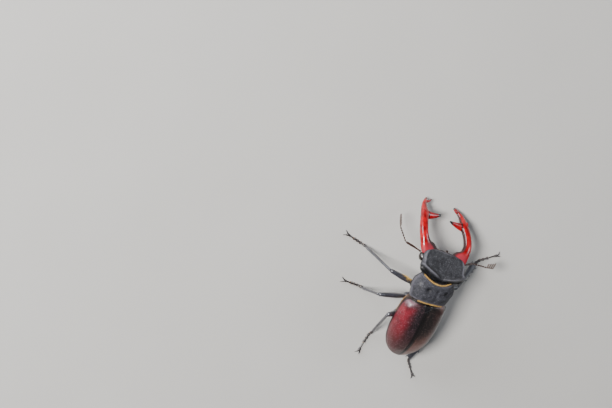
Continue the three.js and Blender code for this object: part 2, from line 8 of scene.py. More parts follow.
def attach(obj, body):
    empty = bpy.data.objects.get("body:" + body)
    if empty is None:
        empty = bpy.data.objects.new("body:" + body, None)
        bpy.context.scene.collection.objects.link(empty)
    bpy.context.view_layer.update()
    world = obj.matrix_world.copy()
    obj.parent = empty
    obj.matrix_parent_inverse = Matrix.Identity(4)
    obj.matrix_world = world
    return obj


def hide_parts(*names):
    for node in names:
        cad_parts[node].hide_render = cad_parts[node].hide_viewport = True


# A male stag beetle, life size, standing on a pale floor. Each section below makes one group of its
# pieces, in the order in which they fit together. Sizes are in millimetres unless a name says not.
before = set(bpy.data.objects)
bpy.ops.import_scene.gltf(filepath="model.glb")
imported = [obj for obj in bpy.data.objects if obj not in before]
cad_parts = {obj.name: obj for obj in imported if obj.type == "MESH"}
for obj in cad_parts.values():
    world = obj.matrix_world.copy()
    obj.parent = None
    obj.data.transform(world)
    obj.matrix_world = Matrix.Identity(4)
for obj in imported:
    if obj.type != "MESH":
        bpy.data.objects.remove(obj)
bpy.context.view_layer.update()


# ---------------------------------------------------------------- stance
# The beetle stands with its fore body raised, its head bent down and turned to its right. The hind
# body, the fore body and the head each have their own axes in millimetres: x to the animal's left,
# y back and z up. They follow each other like the links of a chain, hooked at neck and waist.

MM = 0.001
SIDES = {"left": 1, "right": -1}
SPOT = (1.1, -0.7)
BASE_HEIGHT = 15.4
BACK_SLOPE = -20
WAIST = {"at": (0, -0.5, 1), "yaw": -7.5, "pitch": 14.9, "roll": -3.3}
NECK = {"at": (-0.5, -7.9, 0.3), "yaw": -4.7, "pitch": 29, "roll": 1.3}


def moved(x, y, z):
    return Matrix.Translation((x, y, z))


def turned(degrees, axis):
    return Matrix.Rotation(radians(degrees), 4, axis)


def hooked(link):
    """A body's axes in those of the body behind it."""
    turns = turned(link["yaw"], "Z") @ turned(link["pitch"], "X") @ turned(link["roll"], "Y")
    return moved(*link["at"]) @ turns


floor_axes = Matrix.Identity(4)
hind_body = moved(0, 0, BASE_HEIGHT) @ turned(BACK_SLOPE, "X")
fore_body = hind_body @ hooked(WAIST)
head_axes = fore_body @ hooked(NECK)
room = Matrix.Scale(MM, 4) @ moved(*SPOT, 0)


# ---------------------------------------------------------------- wing cases
# Two hard, thin, domed shells of chitin that meet in a straight seam over the folded wings. Each is
# one closed plate with a thread along the seam, a knob at the shoulder and a bead round its edge.

CASE_LENGTH = 23.4
CASE_HALF_WIDTH = [[0, 6.1], [0.03, 6.9], [0.1, 7.5], [0.25, 7.9], [0.45, 8.0], [0.65, 7.5], [0.8, 6.3],
                   [0.9, 4.75], [0.96, 3.2], [0.985, 2.1], [1, 0.6]]
CASE_TOP = [[0, 3.6], [0.08, 4.1], [0.35, 4.5], [0.6, 4.2], [0.8, 3.1], [0.92, 1.7], [1, 0.4]]
CASE_EDGE = [[0, 0.7], [0.1, 0.1], [0.3, -0.2], [0.7, -0.3], [1, -0.3]]
CASE_LEAST_RISE = 0.15
CASE_THICKNESS = 0.6
CASE_THINS_BELOW = 3
CASE_RIM = 0.35
CASE_SQUARENESS = 2.35
CASE_BLUNT_BASE = {"share": 0.42, "length": 0.02}
SEAM = 0.06
SHOULDER = {"at": (0.085, radians(58)), "size": (0.05, radians(15)), "height": 0.38}
SEAM_THREAD = {"at": 0.24, "width": 0.16, "height": 0.06, "groove": 0.5, "groove_depth": 0.04, "fade": 6}
EDGE_BEAD = {"from": radians(83), "height": 0.12}


def profile(stops):
    """A smooth curve through (place, size) stops that never overshoots them."""
    places, sizes = np.array(stops, float).T
    slopes = np.diff(sizes) / np.diff(places)
    before, after = slopes[:-1], slopes[1:]
    both = np.where(before * after > 0, before + after, 1)
    inner = np.where(before * after > 0, 2 * before * after / both, 0)
    tangents = np.concatenate([slopes[:1], inner, slopes[-1:]])

    def at(place):
        place = np.clip(place, places[0], places[-1])
        i = np.clip(np.searchsorted(places, place, side="right") - 1, 0, len(slopes) - 1)
        span = places[i + 1] - places[i]
        t = (place - places[i]) / span
        return ((2 * t**3 - 3 * t**2 + 1) * sizes[i] + (t**3 - 2 * t**2 + t) * span * tangents[i]
                + (3 * t**2 - 2 * t**3) * sizes[i + 1] + (t**3 - t**2) * span * tangents[i + 1])

    return at


def bent(value, squareness):
    """cos or sin pushed from an ellipse towards a box."""
    return np.sign(value) * np.abs(value) ** (2 / squareness)


def hill(value, centre, width):
    return np.exp(-(((value - centre) / width) ** 2))


def quarter_round(value):
    """A quarter circle from 0, where the value is 0 or less, to 1, where it is 1 or more."""
    return np.sqrt(1 - (1 - np.clip(value, 0, 1)) ** 2)


def even_angles(count, squareness, flatness, turn=2 * np.pi):
    """Angles whose points lie evenly round a section, whose height is `flatness` times its width."""
    fine = np.linspace(0, turn, 6001)
    x, z = bent(np.cos(fine), squareness), flatness * bent(np.sin(fine), squareness)
    run = np.concatenate([[0], np.cumsum(np.hypot(np.diff(x), np.diff(z)))])
    closed = turn == 2 * np.pi
    share = (np.arange(count) + 0.5) / count if closed else np.arange(count) / (count - 1)
    return np.interp(share * run[-1], run, fine)


def skin(rings):
    """Points and faces of one closed surface through a stack of rings. Each end closes across."""
    rings = np.asarray(rings, float)
    count, sides, _ = rings.shape
    ring, side = np.meshgrid(np.arange(count - 1), np.arange(sides), indexing="ij")
    here, there = ring * sides + side, ring * sides + (side + 1) % sides
    faces = np.stack([here, there, there + sides, here + sides], -1).reshape(-1, 4).tolist()
    for start, way in ((0, -1), ((count - 1) * sides, 1)):
        for j in range((sides - 1) // 2):
            corners = [start + j, start + j + 1, start + sides - 2 - j, start + sides - 1 - j]
            faces.append(list(dict.fromkeys(corners))[::way])
    points = rings.reshape(-1, 3)
    a, b, c = (points[[face[k] for face in faces]] for k in range(3))
    d = points[[face[-1] for face in faces]]
    volume = np.sum(a * np.cross(b, c)) + np.sum(a * np.cross(c, d))
    return points, faces if volume > 0 else [face[::-1] for face in faces]


def new_object(name, points, faces):
    mesh = bpy.data.meshes.new(name)
    mesh.from_pydata(np.asarray(points).tolist(), [], faces)
    mesh.validate()
    made = bpy.data.objects.new(name, mesh)
    bpy.context.scene.collection.objects.link(made)
    return made


def piece(name, axes, points, faces, finish, slot, nodes=(), fields=None):
    """One shown piece, given in a body's own axes, with values of its surface kept as fields."""
    place = np.array(room @ axes)
    points = np.asarray(points) @ place[:3, :3].T + place[:3, 3]
    made = new_object(name, points, faces)
    for field, values in (fields or {}).items():
        layer = made.data.attributes.new(field, "FLOAT", "POINT")
        layer.data.foreach_set("value", np.asarray(values, np.float32).ravel())
    made.data.shade_smooth()
    made.data.materials.append(finish)
    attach(made, "root")
    if nodes:
        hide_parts(*nodes)
    return made


class Wire:
    """One socket of a finish. Operators add Math nodes, and node() adds any other."""

    def __init__(self, tree, socket=None):
        self.tree, self.socket = tree, socket

    def node(self, kind, settings=None, inputs=None, output=0):
        """Adds a node of this type, with its settings and the values or links of its sockets."""
        made = self.tree.nodes.new("ShaderNode" + kind)
        for name, value in (settings or {}).items():
            setattr(made, name, value)
        for name, value in (inputs or {}).items():
            if isinstance(value, Wire):
                self.tree.links.new(value.socket, made.inputs[name])
            else:
                made.inputs[name].default_value = value
        return Wire(self.tree, made.outputs[output] if len(made.outputs) else None)

    def math(self, operation, *values):
        return self.node("Math", {"operation": operation}, dict(enumerate(values)))

    def __add__(self, other):
        return self.math("ADD", self, other)

    def __radd__(self, other):
        return self.math("ADD", other, self)

    def __sub__(self, other):
        return self.math("SUBTRACT", self, other)

    def __rsub__(self, other):
        return self.math("SUBTRACT", other, self)

    def __mul__(self, other):
        return self.math("MULTIPLY", self, other)

    def __rmul__(self, other):
        return self.math("MULTIPLY", other, self)

    def rise(self, low, high):
        """0 below low, 1 above high and smooth between; it falls instead where low is the higher."""
        return self.node("MapRange", {"interpolation_type": "SMOOTHSTEP"},
                         {"Value": self, "From Min": low, "From Max": high})

    def tint(self, first, second):
        """The first colour where this value is 0, the second where it is 1."""
        pick = [value if isinstance(value, Wire) else (*value, 1) for value in (first, second)]
        return self.node("Mix", {"data_type": "RGBA"}, {0: self, 6: pick[0], 7: pick[1]}, output=2)

    def field(self, name):
        """A value kept on the points of the mesh."""
        return self.node("Attribute", {"attribute_name": name}, output=2)

    def place(self):
        """The point of the piece, in its own coordinates."""
        return self.node("TexCoord", output=3)

    def grain(self, size, detail=3):
        """Cloudy variation from 0 to 1, with blotches of this size in millimetres."""
        return self.node("TexNoise", {}, {"Vector": self.place(), "Scale": 1 / (size * MM), "Detail": detail})

    def cells(self, size):
        """Distance from the middle of packed round cells, 0 at their middles."""
        return self.node("TexVoronoi", {}, {"Vector": self.place(), "Scale": 1 / (size * MM)})

    def surface(self, colour, roughness, height=None, depth=0.0, **fixed):
        """Ends the finish. The bump's depth is in millimetres; the other sockets are constants."""
        inputs = {"Base Color": colour if isinstance(colour, Wire) else (*colour, 1), "Roughness": roughness}
        inputs.update({name.replace("_", " "): value for name, value in fixed.items()})
        if height is not None:
            bump = {"Height": height, "Distance": depth * MM, "Strength": 1.0}
            inputs["Normal"] = self.node("Bump", {}, bump)
        shader = self.node("BsdfPrincipled", {}, inputs)
        self.node("OutputMaterial", {}, {"Surface": shader})


def new_finish(name):
    """An empty material and a wire to start its nodes from."""
    material = bpy.data.materials.new(name)
    material.use_nodes = True
    material.node_tree.nodes.clear()
    return material, Wire(material.node_tree)


case_half_width, case_top, case_edge = profile(CASE_HALF_WIDTH), profile(CASE_TOP), profile(CASE_EDGE)


def case_surface(station, angle, inset):
    """The wing case's own surface: x from the seam outwards, y and z, at a place and an angle."""
    width = case_half_width(station) - inset
    edge = case_edge(station)
    rise = np.maximum(case_top(station) - inset - edge, CASE_LEAST_RISE)
    (at, turn), (length, spread) = SHOULDER["at"], SHOULDER["size"]
    shoulder = SHOULDER["height"] * hill(station, at, length) * hill(angle, turn, spread)
    x = np.maximum(width * bent(np.sin(angle), CASE_SQUARENESS), SEAM)
    thread = (SEAM_THREAD["height"] * hill(x, SEAM_THREAD["at"], SEAM_THREAD["width"])
              - SEAM_THREAD["groove_depth"] * hill(x, SEAM_THREAD["groove"], SEAM_THREAD["width"]))
    thread = thread * np.clip(SEAM_THREAD["fade"] * (1 - station), 0, 1)
    bead = EDGE_BEAD["height"] * np.clip((angle - EDGE_BEAD["from"]) / (np.pi / 2 - EDGE_BEAD["from"]), 0, 1)
    z = edge + rise * bent(np.cos(angle), CASE_SQUARENESS) + shoulder + thread
    return x + bead, station * CASE_LENGTH, z


def case_mesh(side):
    angles = np.pi / 2 - even_angles(96, CASE_SQUARENESS, 0.55, np.pi / 2)[::-1]
    stations = 1 - (1 - np.linspace(0, 1, 120)) ** 1.5
    station, angle = np.meshgrid(stations, angles, indexing="ij")
    thickness = CASE_THICKNESS * np.minimum(1, case_half_width(station) / CASE_THINS_BELOW)
    blunt = CASE_BLUNT_BASE["share"] * thickness * (1 - quarter_round(station / CASE_BLUNT_BASE["length"]))
    outer, inner = [np.stack([side * x, y + 0 * x, z], -1) for x, y, z in
                    (case_surface(station, angle, blunt), case_surface(station, angle, thickness - blunt))]
    rim = [surface[:, -1:] - np.array([0, 0, CASE_RIM]) for surface in (outer, inner)]
    rings = np.concatenate([outer, rim[0], rim[1], inner[:, ::-1]], 1)
    turn = np.concatenate([angle, angle[:, -1:], angle[:, -1:], angle[:, ::-1]], 1)
    along = np.repeat(stations[:, None], rings.shape[1], 1)
    return *skin(rings), {"along": along, "across": turn / (np.pi / 2)}


def case_finish(name, flank_light, deep, seam_and_edge_shade, tip_colour_and_sky_light, shoulder_sheen_and_specks):
    """Satin chitin with pale specks and painted light and shade: a lit flank, shade at the base, seam and
    turned-down edge, a sheen at the shoulder, a warm tip that is sky-lit on the right case.
    """
    material, start = new_finish(name)
    along, across = start.field("along"), start.field("across")
    cloud = start.grain(2.2, 5)
    flank = across.rise(0.16, 0.5) * along.rise(0.03, 0.12)
    # Painted light: the outer side is painted brighter in cloudy patches, as if lit, and darker at the base
    # edge.
    colour = (flank * (cloud * 1.6 - 0.1)).tint(deep, flank_light)
    # Towards the tip: a maroon-brown tone on the left case, a pale painted sky light on the right case.
    colour = ((along + 0.35 * cloud).rise(0.5, 0.95) * 0.85).tint(colour, tip_colour_and_sky_light)
    # Painted shade: near black beside the seam over the front part of each case.
    colour = ((across + 0.3 * cloud).rise(0.56, 0.26) * along.rise(0.85, 0.3)).tint(colour, seam_and_edge_shade)
    # A painted sheen at the shoulder, and pale specks all over.
    colour = (along.rise(0.1, 0.0) * across.rise(0.3, 0.6) * 0.5 + start.grain(0.3, 2).rise(0.55, 0.7) * 0.45
              ).tint(colour, shoulder_sheen_and_specks)
    # Painted shade on the steep outer edge that turns under.
    colour = (across.rise(0.92, 1.0) * 0.85).tint(colour, seam_and_edge_shade)
    colour = (across.rise(0.06, 0.03) * 0.95).tint(colour, (0.004, 0.003, 0.003))
    pits = start.cells(0.3).rise(0.0, 0.3)
    start.surface(colour, 0.3 + 0.25 * start.grain(0.6, 4), pits * 0.6 + start.grain(0.45, 5), 0.06,
                  Coat_Weight=0.3, Coat_Roughness=0.25, Specular_IOR_Level=0.5)
    return material


# The two cases are one chitin: the left is painted as the lit one and the right as the shaded one, with
# painted light and painted shade.
CASE_LIT_AND_SHADED_COLOURS = {
    "left": {"flank_light": (0.19, 0.008, 0.018), "deep": (0.028, 0.005, 0.007), "seam_and_edge_shade": (0.007, 0.005, 0.006),
             "tip_colour_and_sky_light": (0.045, 0.016, 0.015), "shoulder_sheen_and_specks": (0.34, 0.20, 0.24)},
    "right": {"flank_light": (0.035, 0.010, 0.010), "deep": (0.010, 0.005, 0.005), "seam_and_edge_shade": (0.004, 0.004, 0.004),
              "tip_colour_and_sky_light": (0.19, 0.095, 0.08), "shoulder_sheen_and_specks": (0.28, 0.18, 0.17)},
}

for name, side in SIDES.items():
    points, faces, fields = case_mesh(side)
    finish = case_finish(f"maroon_chitin_painted_light_{name}", **CASE_LIT_AND_SHADED_COLOURS[name])
    piece(f"wing_case_{name}", hind_body, points, faces, finish, "wing_case", [f"elytron_{name}"], fields)


# ---------------------------------------------------------------- scutellum
# The small polished black triangle between the bases of the wing cases. It is part of the back and
# is pressed up between the two cases, with a shallow dimple in its middle.

SCUTELLUM = {"start": -0.25, "length": 2.7, "half_width": 1.6, "top": 4.05, "climb": 0.15, "camber": 0.45,
             "dimple": 0.12, "thickness": 0.8, "undercut": 0.9}


def scutellum_mesh():
    rings = []
    for t in np.linspace(0, 1, 28) ** 0.8:
        half = SCUTELLUM["half_width"] * np.sqrt(max(1 - t**1.4, 0.002))
        x = np.linspace(1, -1, 25)
        level = SCUTELLUM["top"] + SCUTELLUM["climb"] * t
        dimple = SCUTELLUM["dimple"] * (1 - hill(x, 0, 0.5) * hill(t, 0.4, 0.3))
        crown = level - SCUTELLUM["camber"] * np.abs(x) ** 2.4 + dimple
        top = np.stack([half * x, np.full(25, t * SCUTELLUM["length"] + SCUTELLUM["start"]), crown], -1)
        under = top[::-1] * [SCUTELLUM["undercut"], 1, 1]
        under[:, 2] = level - SCUTELLUM["thickness"]
        rings.append(np.concatenate([top, under]))
    return skin(rings)


polished, start = new_finish("polished_black_chitin")
start.surface((0.008, 0.007, 0.008), 0.2 + 0.15 * start.grain(0.7), start.cells(0.3).rise(0, 0.3), 0.02,
              Coat_Weight=1.0, Coat_Roughness=0.12, Specular_IOR_Level=0.8)
piece("scutellum_plate", hind_body, *scutellum_mesh(), polished, "scutellum", ["scutellum"])


# ---------------------------------------------------------------- hind body
# The breast plate and the ringed belly under the wing cases: dark brown chitin. The breast carries
# the middle and hind legs, and the belly is five overlapping rings closed by a rounded last one.

TRUNK_INSET = 0.74
TRUNK_DEPTH = [[-0.6, -3.8], [2.6, -5.2], [8, -5.4], [10.8, -5.1], [15.6, -4.3], [20, -3.1], [22.4, -1.3]]
TRUNK_START, TRUNK_SPLIT, TRUNK_END = -0.6, 10.8, 22.4
TRUNK_GAP = 0.05
TRUNK_LEAST_RISE = 0.2
BELLY_SQUARENESS = 2.2
BELLY_RINGS = {"at": [12.9, 15.1, 17.2, 19.2], "groove": 0.26, "behind": 0.2, "width": 0.4}
BREAST_GROOVE = {"depth": 0.35, "width": 0.25}
HIP_GROOVE = {"at": 6.2, "depth": 0.25, "width": 0.3}
trunk_depth = profile(TRUNK_DEPTH)


def trunk_section(y, angle):
    """Points x and z of the hind body's skin. Its upper half follows the inside of the wing cases."""
    station = np.clip(y / CASE_LENGTH, 0, 1)
    half = case_half_width(station) - TRUNK_INSET
    edge = case_edge(station) - CASE_RIM
    up = np.sin(angle) > 0
    squareness = np.where(up, CASE_SQUARENESS, BELLY_SQUARENESS)
    rise = np.maximum(case_top(station) - TRUNK_INSET - edge, TRUNK_LEAST_RISE)
    reach = np.where(up, rise, edge - trunk_depth(y))
    return half * bent(np.cos(angle), squareness), edge + reach * bent(np.sin(angle), squareness)


def trunk_mesh(first, last, detail):
    """A length of the hind body, whose underside is raised by `detail` at a place x and y."""
    angles = even_angles(120, BELLY_SQUARENESS, 0.6)
    y, angle = np.meshgrid(np.linspace(first, last, 100), angles, indexing="ij")
    x, z = trunk_section(y, angle)
    under = np.clip(-np.sin(angle) * 3, 0, 1)
    return *skin(np.stack([x, y, z + under * detail(x, y)], -1)), {"under": under}


def breast_detail(x, y):
    """A groove down the middle and one across before the hind hips."""
    return (BREAST_GROOVE["depth"] * hill(x, 0, BREAST_GROOVE["width"])
            + HIP_GROOVE["depth"] * hill(y, HIP_GROOVE["at"], HIP_GROOVE["width"]))


def belly_detail(x, y):
    """A groove parts each ring from the next."""
    away = [np.abs(y - at - BELLY_RINGS["behind"]) / BELLY_RINGS["width"] for at in BELLY_RINGS["at"]]
    return BELLY_RINGS["groove"] * np.sum(np.clip(1 - np.array(away), 0, 1), 0)


brown, start = new_finish("brown_belly_chitin")
colour = (start.field("under") * start.grain(1.5)).tint((0.014, 0.009, 0.008), (0.05, 0.022, 0.013))
start.surface(colour, 0.38 + 0.2 * start.grain(0.8), start.cells(0.3).rise(0, 0.35) + start.grain(0.4), 0.03,
              Coat_Weight=0.15, Coat_Roughness=0.3)
for name, node, first, last, detail in (
        ("breast", "thorax", TRUNK_START, TRUNK_SPLIT - TRUNK_GAP, breast_detail),
        ("belly", "abdomen", TRUNK_SPLIT, TRUNK_END, belly_detail)):
    points, faces, fields = trunk_mesh(first, last, detail)
    piece(name, hind_body, points, faces, brown, "belly", [node], fields)


# ---------------------------------------------------------------- fore shield
# The first ring of the breast, one stiff collar of matt, finely grained black chitin with a beaded
# edge. It carries the fore legs, and the head slides into its front.

COLLAR = {
    "length": 8.6,
    "half_width": [[0, 6.2], [0.3, 6.7], [1.2, 6.95], [2.7, 7.2], [4.4, 7.7], [5.8, 7.55], [7.4, 6.6],
                   [8.2, 6.0], [8.6, 5.6]],
    "top": [[0, 2.7], [0.5, 3.2], [3, 3.8], [6, 3.6], [8, 3.0], [8.6, 2.4]],
    "bottom": [[0, -3.2], [1, -4.3], [4, -5.0], [7, -4.5], [8.6, -3.4]],
    "edge": -0.5,
    "squareness": 2.3,
    "under_squareness": 2.3,
}
COLLAR_BEAD = {"height": 0.22, "half_angle": 0.1}
COLLAR_WELTS = {"behind": 0.45, "in_front": 0.5, "width": 0.22, "height": 0.14}
COLLAR_FURROW = {"depth": 0.16, "half_width": 0.5, "ahead": 4.2, "length": 3}
COLLAR_NOTCH = {"depth": 2.0, "reach": 6.8}
COLLAR_PITS = {"x": 3.4, "ahead": 4.7, "size": 0.7, "depth": 0.45}


def armour_section(sizes, ahead, angle):
    """Points of a plate-armoured body length at a place ahead of its hind edge and an angle."""
    half, top, bottom = (profile(sizes[key])(ahead) for key in ("half_width", "top", "bottom"))
    edge = sizes["edge"]
    squareness = np.where(np.sin(angle) > 0, sizes["squareness"], sizes["under_squareness"])
    x = half * bent(np.cos(angle), squareness)
    reach = np.where(np.sin(angle) > 0, top - edge, edge - bottom)
    return x, edge + reach * bent(np.sin(angle), squareness)


def armour_mesh(sizes, first, last, rows, sides, detail):
    ahead, angle = np.meshgrid(np.linspace(first, last, rows),
                               even_angles(sides, sizes["squareness"], 0.5), indexing="ij")
    x, z = armour_section(sizes, ahead, angle)
    shift, fields = detail(x, ahead, angle)
    return *skin(np.stack([x, -ahead, z], -1) + np.stack(shift, -1)), fields


def collar_notch(x, ahead, angle):
    """How far the middle of the front margin is set back, to make room for the head."""
    middle = np.maximum(1 - (x / COLLAR_NOTCH["reach"]) ** 2, 0) * (ahead / COLLAR["length"]) ** 4
    return COLLAR_NOTCH["depth"] * middle * np.sqrt(np.maximum(np.sin(angle), 0))


def collar_detail(x, ahead, angle):
    """Welts before both margins, a shallow furrow along the middle, two pits and a beaded edge."""
    up = np.clip(np.sin(angle) * 3, 0, 1)
    margins = COLLAR_WELTS["behind"], COLLAR["length"] - COLLAR_WELTS["in_front"]
    welts = sum(hill(ahead, margin, COLLAR_WELTS["width"]) for margin in margins)
    furrow = COLLAR_FURROW["depth"] * hill(x, 0, COLLAR_FURROW["half_width"])
    furrow = furrow * hill(ahead, COLLAR_FURROW["ahead"], COLLAR_FURROW["length"])
    pits = sum(hill(x, way * COLLAR_PITS["x"], COLLAR_PITS["size"]) for way in (1, -1))
    pits = pits * hill(ahead, COLLAR_PITS["ahead"], COLLAR_PITS["size"]) * up
    bead = sum(hill(angle % np.pi, edge, COLLAR_BEAD["half_angle"]) for edge in (0, np.pi))
    # The pits are kept as hollows that get painted shade.
    fields = {"shiny": pits, "rim": np.clip(bead + welts * up, 0, 1)}
    rise = up * (COLLAR_WELTS["height"] * welts - furrow) - COLLAR_PITS["depth"] * pits
    return (np.sign(x) * COLLAR_BEAD["height"] * bead, collar_notch(x, ahead, angle), rise), fields


def matt_finish(name, dark, light, grain_colour, rim_highlight):
    """Dull black chitin, closely and finely grained, with a painted highlight along its rims and painted
    shade, near black and glossy, in its hollows.
    """
    material, start = new_finish(name)
    rim, shiny = start.field("rim"), start.field("shiny")
    grains = start.cells(0.45).rise(0.08, 0.5)
    cloud = start.grain(1.3, 5)
    colour = (cloud * cloud * 1.7).tint(dark, light)
    colour = (start.grain(0.3, 3).rise(0.5, 0.72) * (cloud * 1.5 - 0.25)).tint(colour, grain_colour)
    # A painted highlight: the rims and welts are painted paler.
    colour = (rim * 0.6).tint(colour, rim_highlight)
    # Painted shade: the pits and the hollow behind the crest are painted near black.
    colour = shiny.tint(colour, (0.004, 0.004, 0.005))
    roughness = 0.52 - 0.22 * rim - 0.25 * shiny + 0.2 * start.grain(0.5)
    start.surface(colour, roughness, grains * (1 - 0.8 * rim) + start.grain(0.5, 5) * 1.2, 0.12,
                  Coat_Weight=0.1, Coat_Roughness=0.3, Specular_IOR_Level=0.35)
    return material


# The last colour is the painted highlight along the rims.
matt = matt_finish("matt_black_chitin", (0.009, 0.009, 0.012), (0.045, 0.045, 0.056), (0.16, 0.16, 0.19),
                   (0.12, 0.115, 0.14))
points, faces, fields = armour_mesh(COLLAR, 0, COLLAR["length"], 110, 220, collar_detail)
piece("fore_shield", fore_body, points, faces, matt, "shield", ["prothorax"], fields)


# ---------------------------------------------------------------- head
# A broad, heavy box of matt black chitin that houses the jaw muscles. A high crest in two lobes
# crosses it behind, a sharp keel runs along each side, and the brow between them is dished.

HEAD = {
    "half_width": [[-0.9, 4.5], [0, 5.4], [0.6, 7.4], [1.5, 8.5], [3.1, 8.7], [4.6, 8.4], [5.8, 8.5],
                   [7.2, 8.0], [8.5, 6.9], [9.3, 5.3]],
    "top": [[-0.9, 0.8], [0, 1.3], [2.4, 1.9], [4.5, 1.8], [6.7, 1.6], [8.3, 1.3], [9.3, 0.4]],
    "bottom": [[-0.9, -2.6], [1, -4.4], [4, -5.0], [7.3, -4.3], [9.3, -2.6]],
    "edge": 0.6,
    "squareness": 2.9,
    "under_squareness": 1.45,
}
HEAD_HALF_SPAN = 9
CREST = {"height": 1.6, "dip": 1.55, "lobe": 2.1, "end_drop": 0.9, "ahead": 0.3, "sweep": 2.9,
         "behind": 0.525, "in_front": 0.875}
CREST_LIP = {"behind": 0.12, "width": 0.22, "height": 0.1}
KEEL = {"share": 0.92, "width": 0.45, "height": 0.34, "from": 2.4, "to": 8.4, "fade": 0.8}
BROW = {"ahead": 3.9, "length": 2.4, "half_width": 4.4, "depth": 0.75}
FRONT_WELT = {"ahead": 8.75, "width": 0.3, "half_width": 5, "height": 0.16}
HEAD_LUMPS = 0.05
NECK_SHADED_HOLLOW = {"behind": 0.35, "sharpness": 3}
head_half = profile(HEAD["half_width"])


def head_detail(x, ahead, angle):
    """The crest with its sharp lip, side keels, dished brow, front welt and a few faint lumps."""
    up = np.clip(np.sin(angle) * 4, 0, 1)
    line = CREST["ahead"] + CREST["sweep"] * (x / HEAD_HALF_SPAN) ** 2
    height = (CREST["height"] - CREST["dip"] * hill(x, 0, CREST["lobe"])
              - CREST["end_drop"] * np.abs(x / HEAD_HALF_SPAN) ** 3)
    crest = hill(ahead, line, np.where(ahead < line, CREST["behind"], CREST["in_front"]))
    lip = hill(ahead, line - CREST_LIP["behind"], CREST_LIP["width"]) * height
    keel = hill(np.abs(x), KEEL["share"] * head_half(ahead), KEEL["width"])
    for inside in (ahead - KEEL["from"], KEEL["to"] - ahead):
        keel = keel * np.clip(inside / KEEL["fade"], 0, 1)
    brow = hill(x, 0, BROW["half_width"]) * hill(ahead, BROW["ahead"], BROW["length"])
    front = hill(ahead, FRONT_WELT["ahead"], FRONT_WELT["width"]) * hill(x, 0, FRONT_WELT["half_width"])
    lumps = HEAD_LUMPS * np.sin(1.7 * x + 1.1 * ahead) * np.sin(1.3 * ahead - 0.9 * x) * (1 - crest)
    z = up * (height * crest + CREST_LIP["height"] * lip + KEEL["height"] * keel - BROW["depth"] * brow
              + FRONT_WELT["height"] * front + lumps)
    rim = np.clip(lip * 0.5 + keel * 0.6 + front * 0.4, 0, 1) * up
    # The hollow behind the crest, which gets painted shade.
    neck = np.clip((line - NECK_SHADED_HOLLOW["behind"] - ahead) * NECK_SHADED_HOLLOW["sharpness"], 0, 1)
    return (0 * x, 0 * x, z), {"rim": rim, "shiny": neck}


# The last colour is the painted highlight along the rims.
head_matt = matt_finish("matt_head_chitin", (0.006, 0.006, 0.008), (0.036, 0.036, 0.043), (0.16, 0.16, 0.18),
                        (0.24, 0.24, 0.28))
points, faces, fields = armour_mesh(HEAD, -0.9, 9.3, 190, 320, head_detail)
piece("head_capsule", head_axes, points, faces, head_matt, "shield", ["head"], fields)


# ---------------------------------------------------------------- upper lip
# A small hinged flap of the same matt chitin under the front of the head, bent down between the
# roots of the jaws.

LIP = {"back": 8.5, "front": 10.1, "half": 2.3, "tip_half": 1.2, "at": -0.65, "drop": 1.3, "thickness": 0.9,
       "thins": 0.6, "camber": 0.25, "crease": 0.12}


def lip_mesh():
    rings = []
    for t in np.linspace(0, 1, 30):
        half = (LIP["half"] + (LIP["tip_half"] - LIP["half"]) * t**2) * np.sqrt(1.001 - t**6)
        x = np.linspace(1, -1, 31)
        crown = LIP["at"] - LIP["drop"] * t**1.3 - LIP["camber"] * np.abs(x) ** 4
        crown = crown - LIP["crease"] * hill(x, 0, 0.25)
        deep = LIP["thickness"] * (1 - LIP["thins"] * t)
        top = np.stack([half * x, np.full(31, -LIP["back"] - (LIP["front"] - LIP["back"]) * t), crown], -1)
        rings.append(np.concatenate([top, (top - [0, 0, deep])[::-1]]))
    return skin(rings)


points, faces = lip_mesh()
blank = {"rim": np.zeros(len(points)), "shiny": np.zeros(len(points))}
piece("upper_lip", head_axes, points, faces, head_matt, "shield", ["labrum"], blank)


# ---------------------------------------------------------------- eyes
# Faceted eyes set in the sides of the head, shiny black-brown domes. A keel of the head runs over
# each from the front.

EYE_AT = (7.75, -5.7, -0.8)
EYE_RADII = (1.25, 1.5, 1.35)


def dome(radii, rows=40, sides=60):
    """An egg shape about the origin, ringed along y."""
    polar = np.linspace(0.02, np.pi - 0.02, rows)[:, None]
    turn = np.linspace(0, 2 * np.pi, sides, endpoint=False)[None]
    x, y, z = np.sin(polar) * np.cos(turn), np.cos(polar) + 0 * turn, np.sin(polar) * np.sin(turn)
    return skin(np.stack([x, y, z], -1) * radii)


eye_finish, start = new_finish("eye_facets")
facets = start.cells(0.09).rise(0.0, 0.6)
start.surface(facets.tint((0.03, 0.018, 0.012), (0.012, 0.008, 0.007)), 0.15 + 0.1 * start.grain(0.5),
              1 - facets, 0.012, Coat_Weight=0.8, Coat_Roughness=0.08)
for name, side in SIDES.items():
    points, faces = dome(EYE_RADII)
    points = points + np.array(EYE_AT) * [side, 1, 1]
    piece(f"eyeball_{name}", head_axes, points, faces, eye_finish, "eye", [f"eye_{name}"])


# ---------------------------------------------------------------- jaws
# The male's antler jaws, solid horn-like chitin hinged at the front corners of the head. They are
# glossy red with black tips: a long inner tooth, a forked end and small knobs on the inner edge.

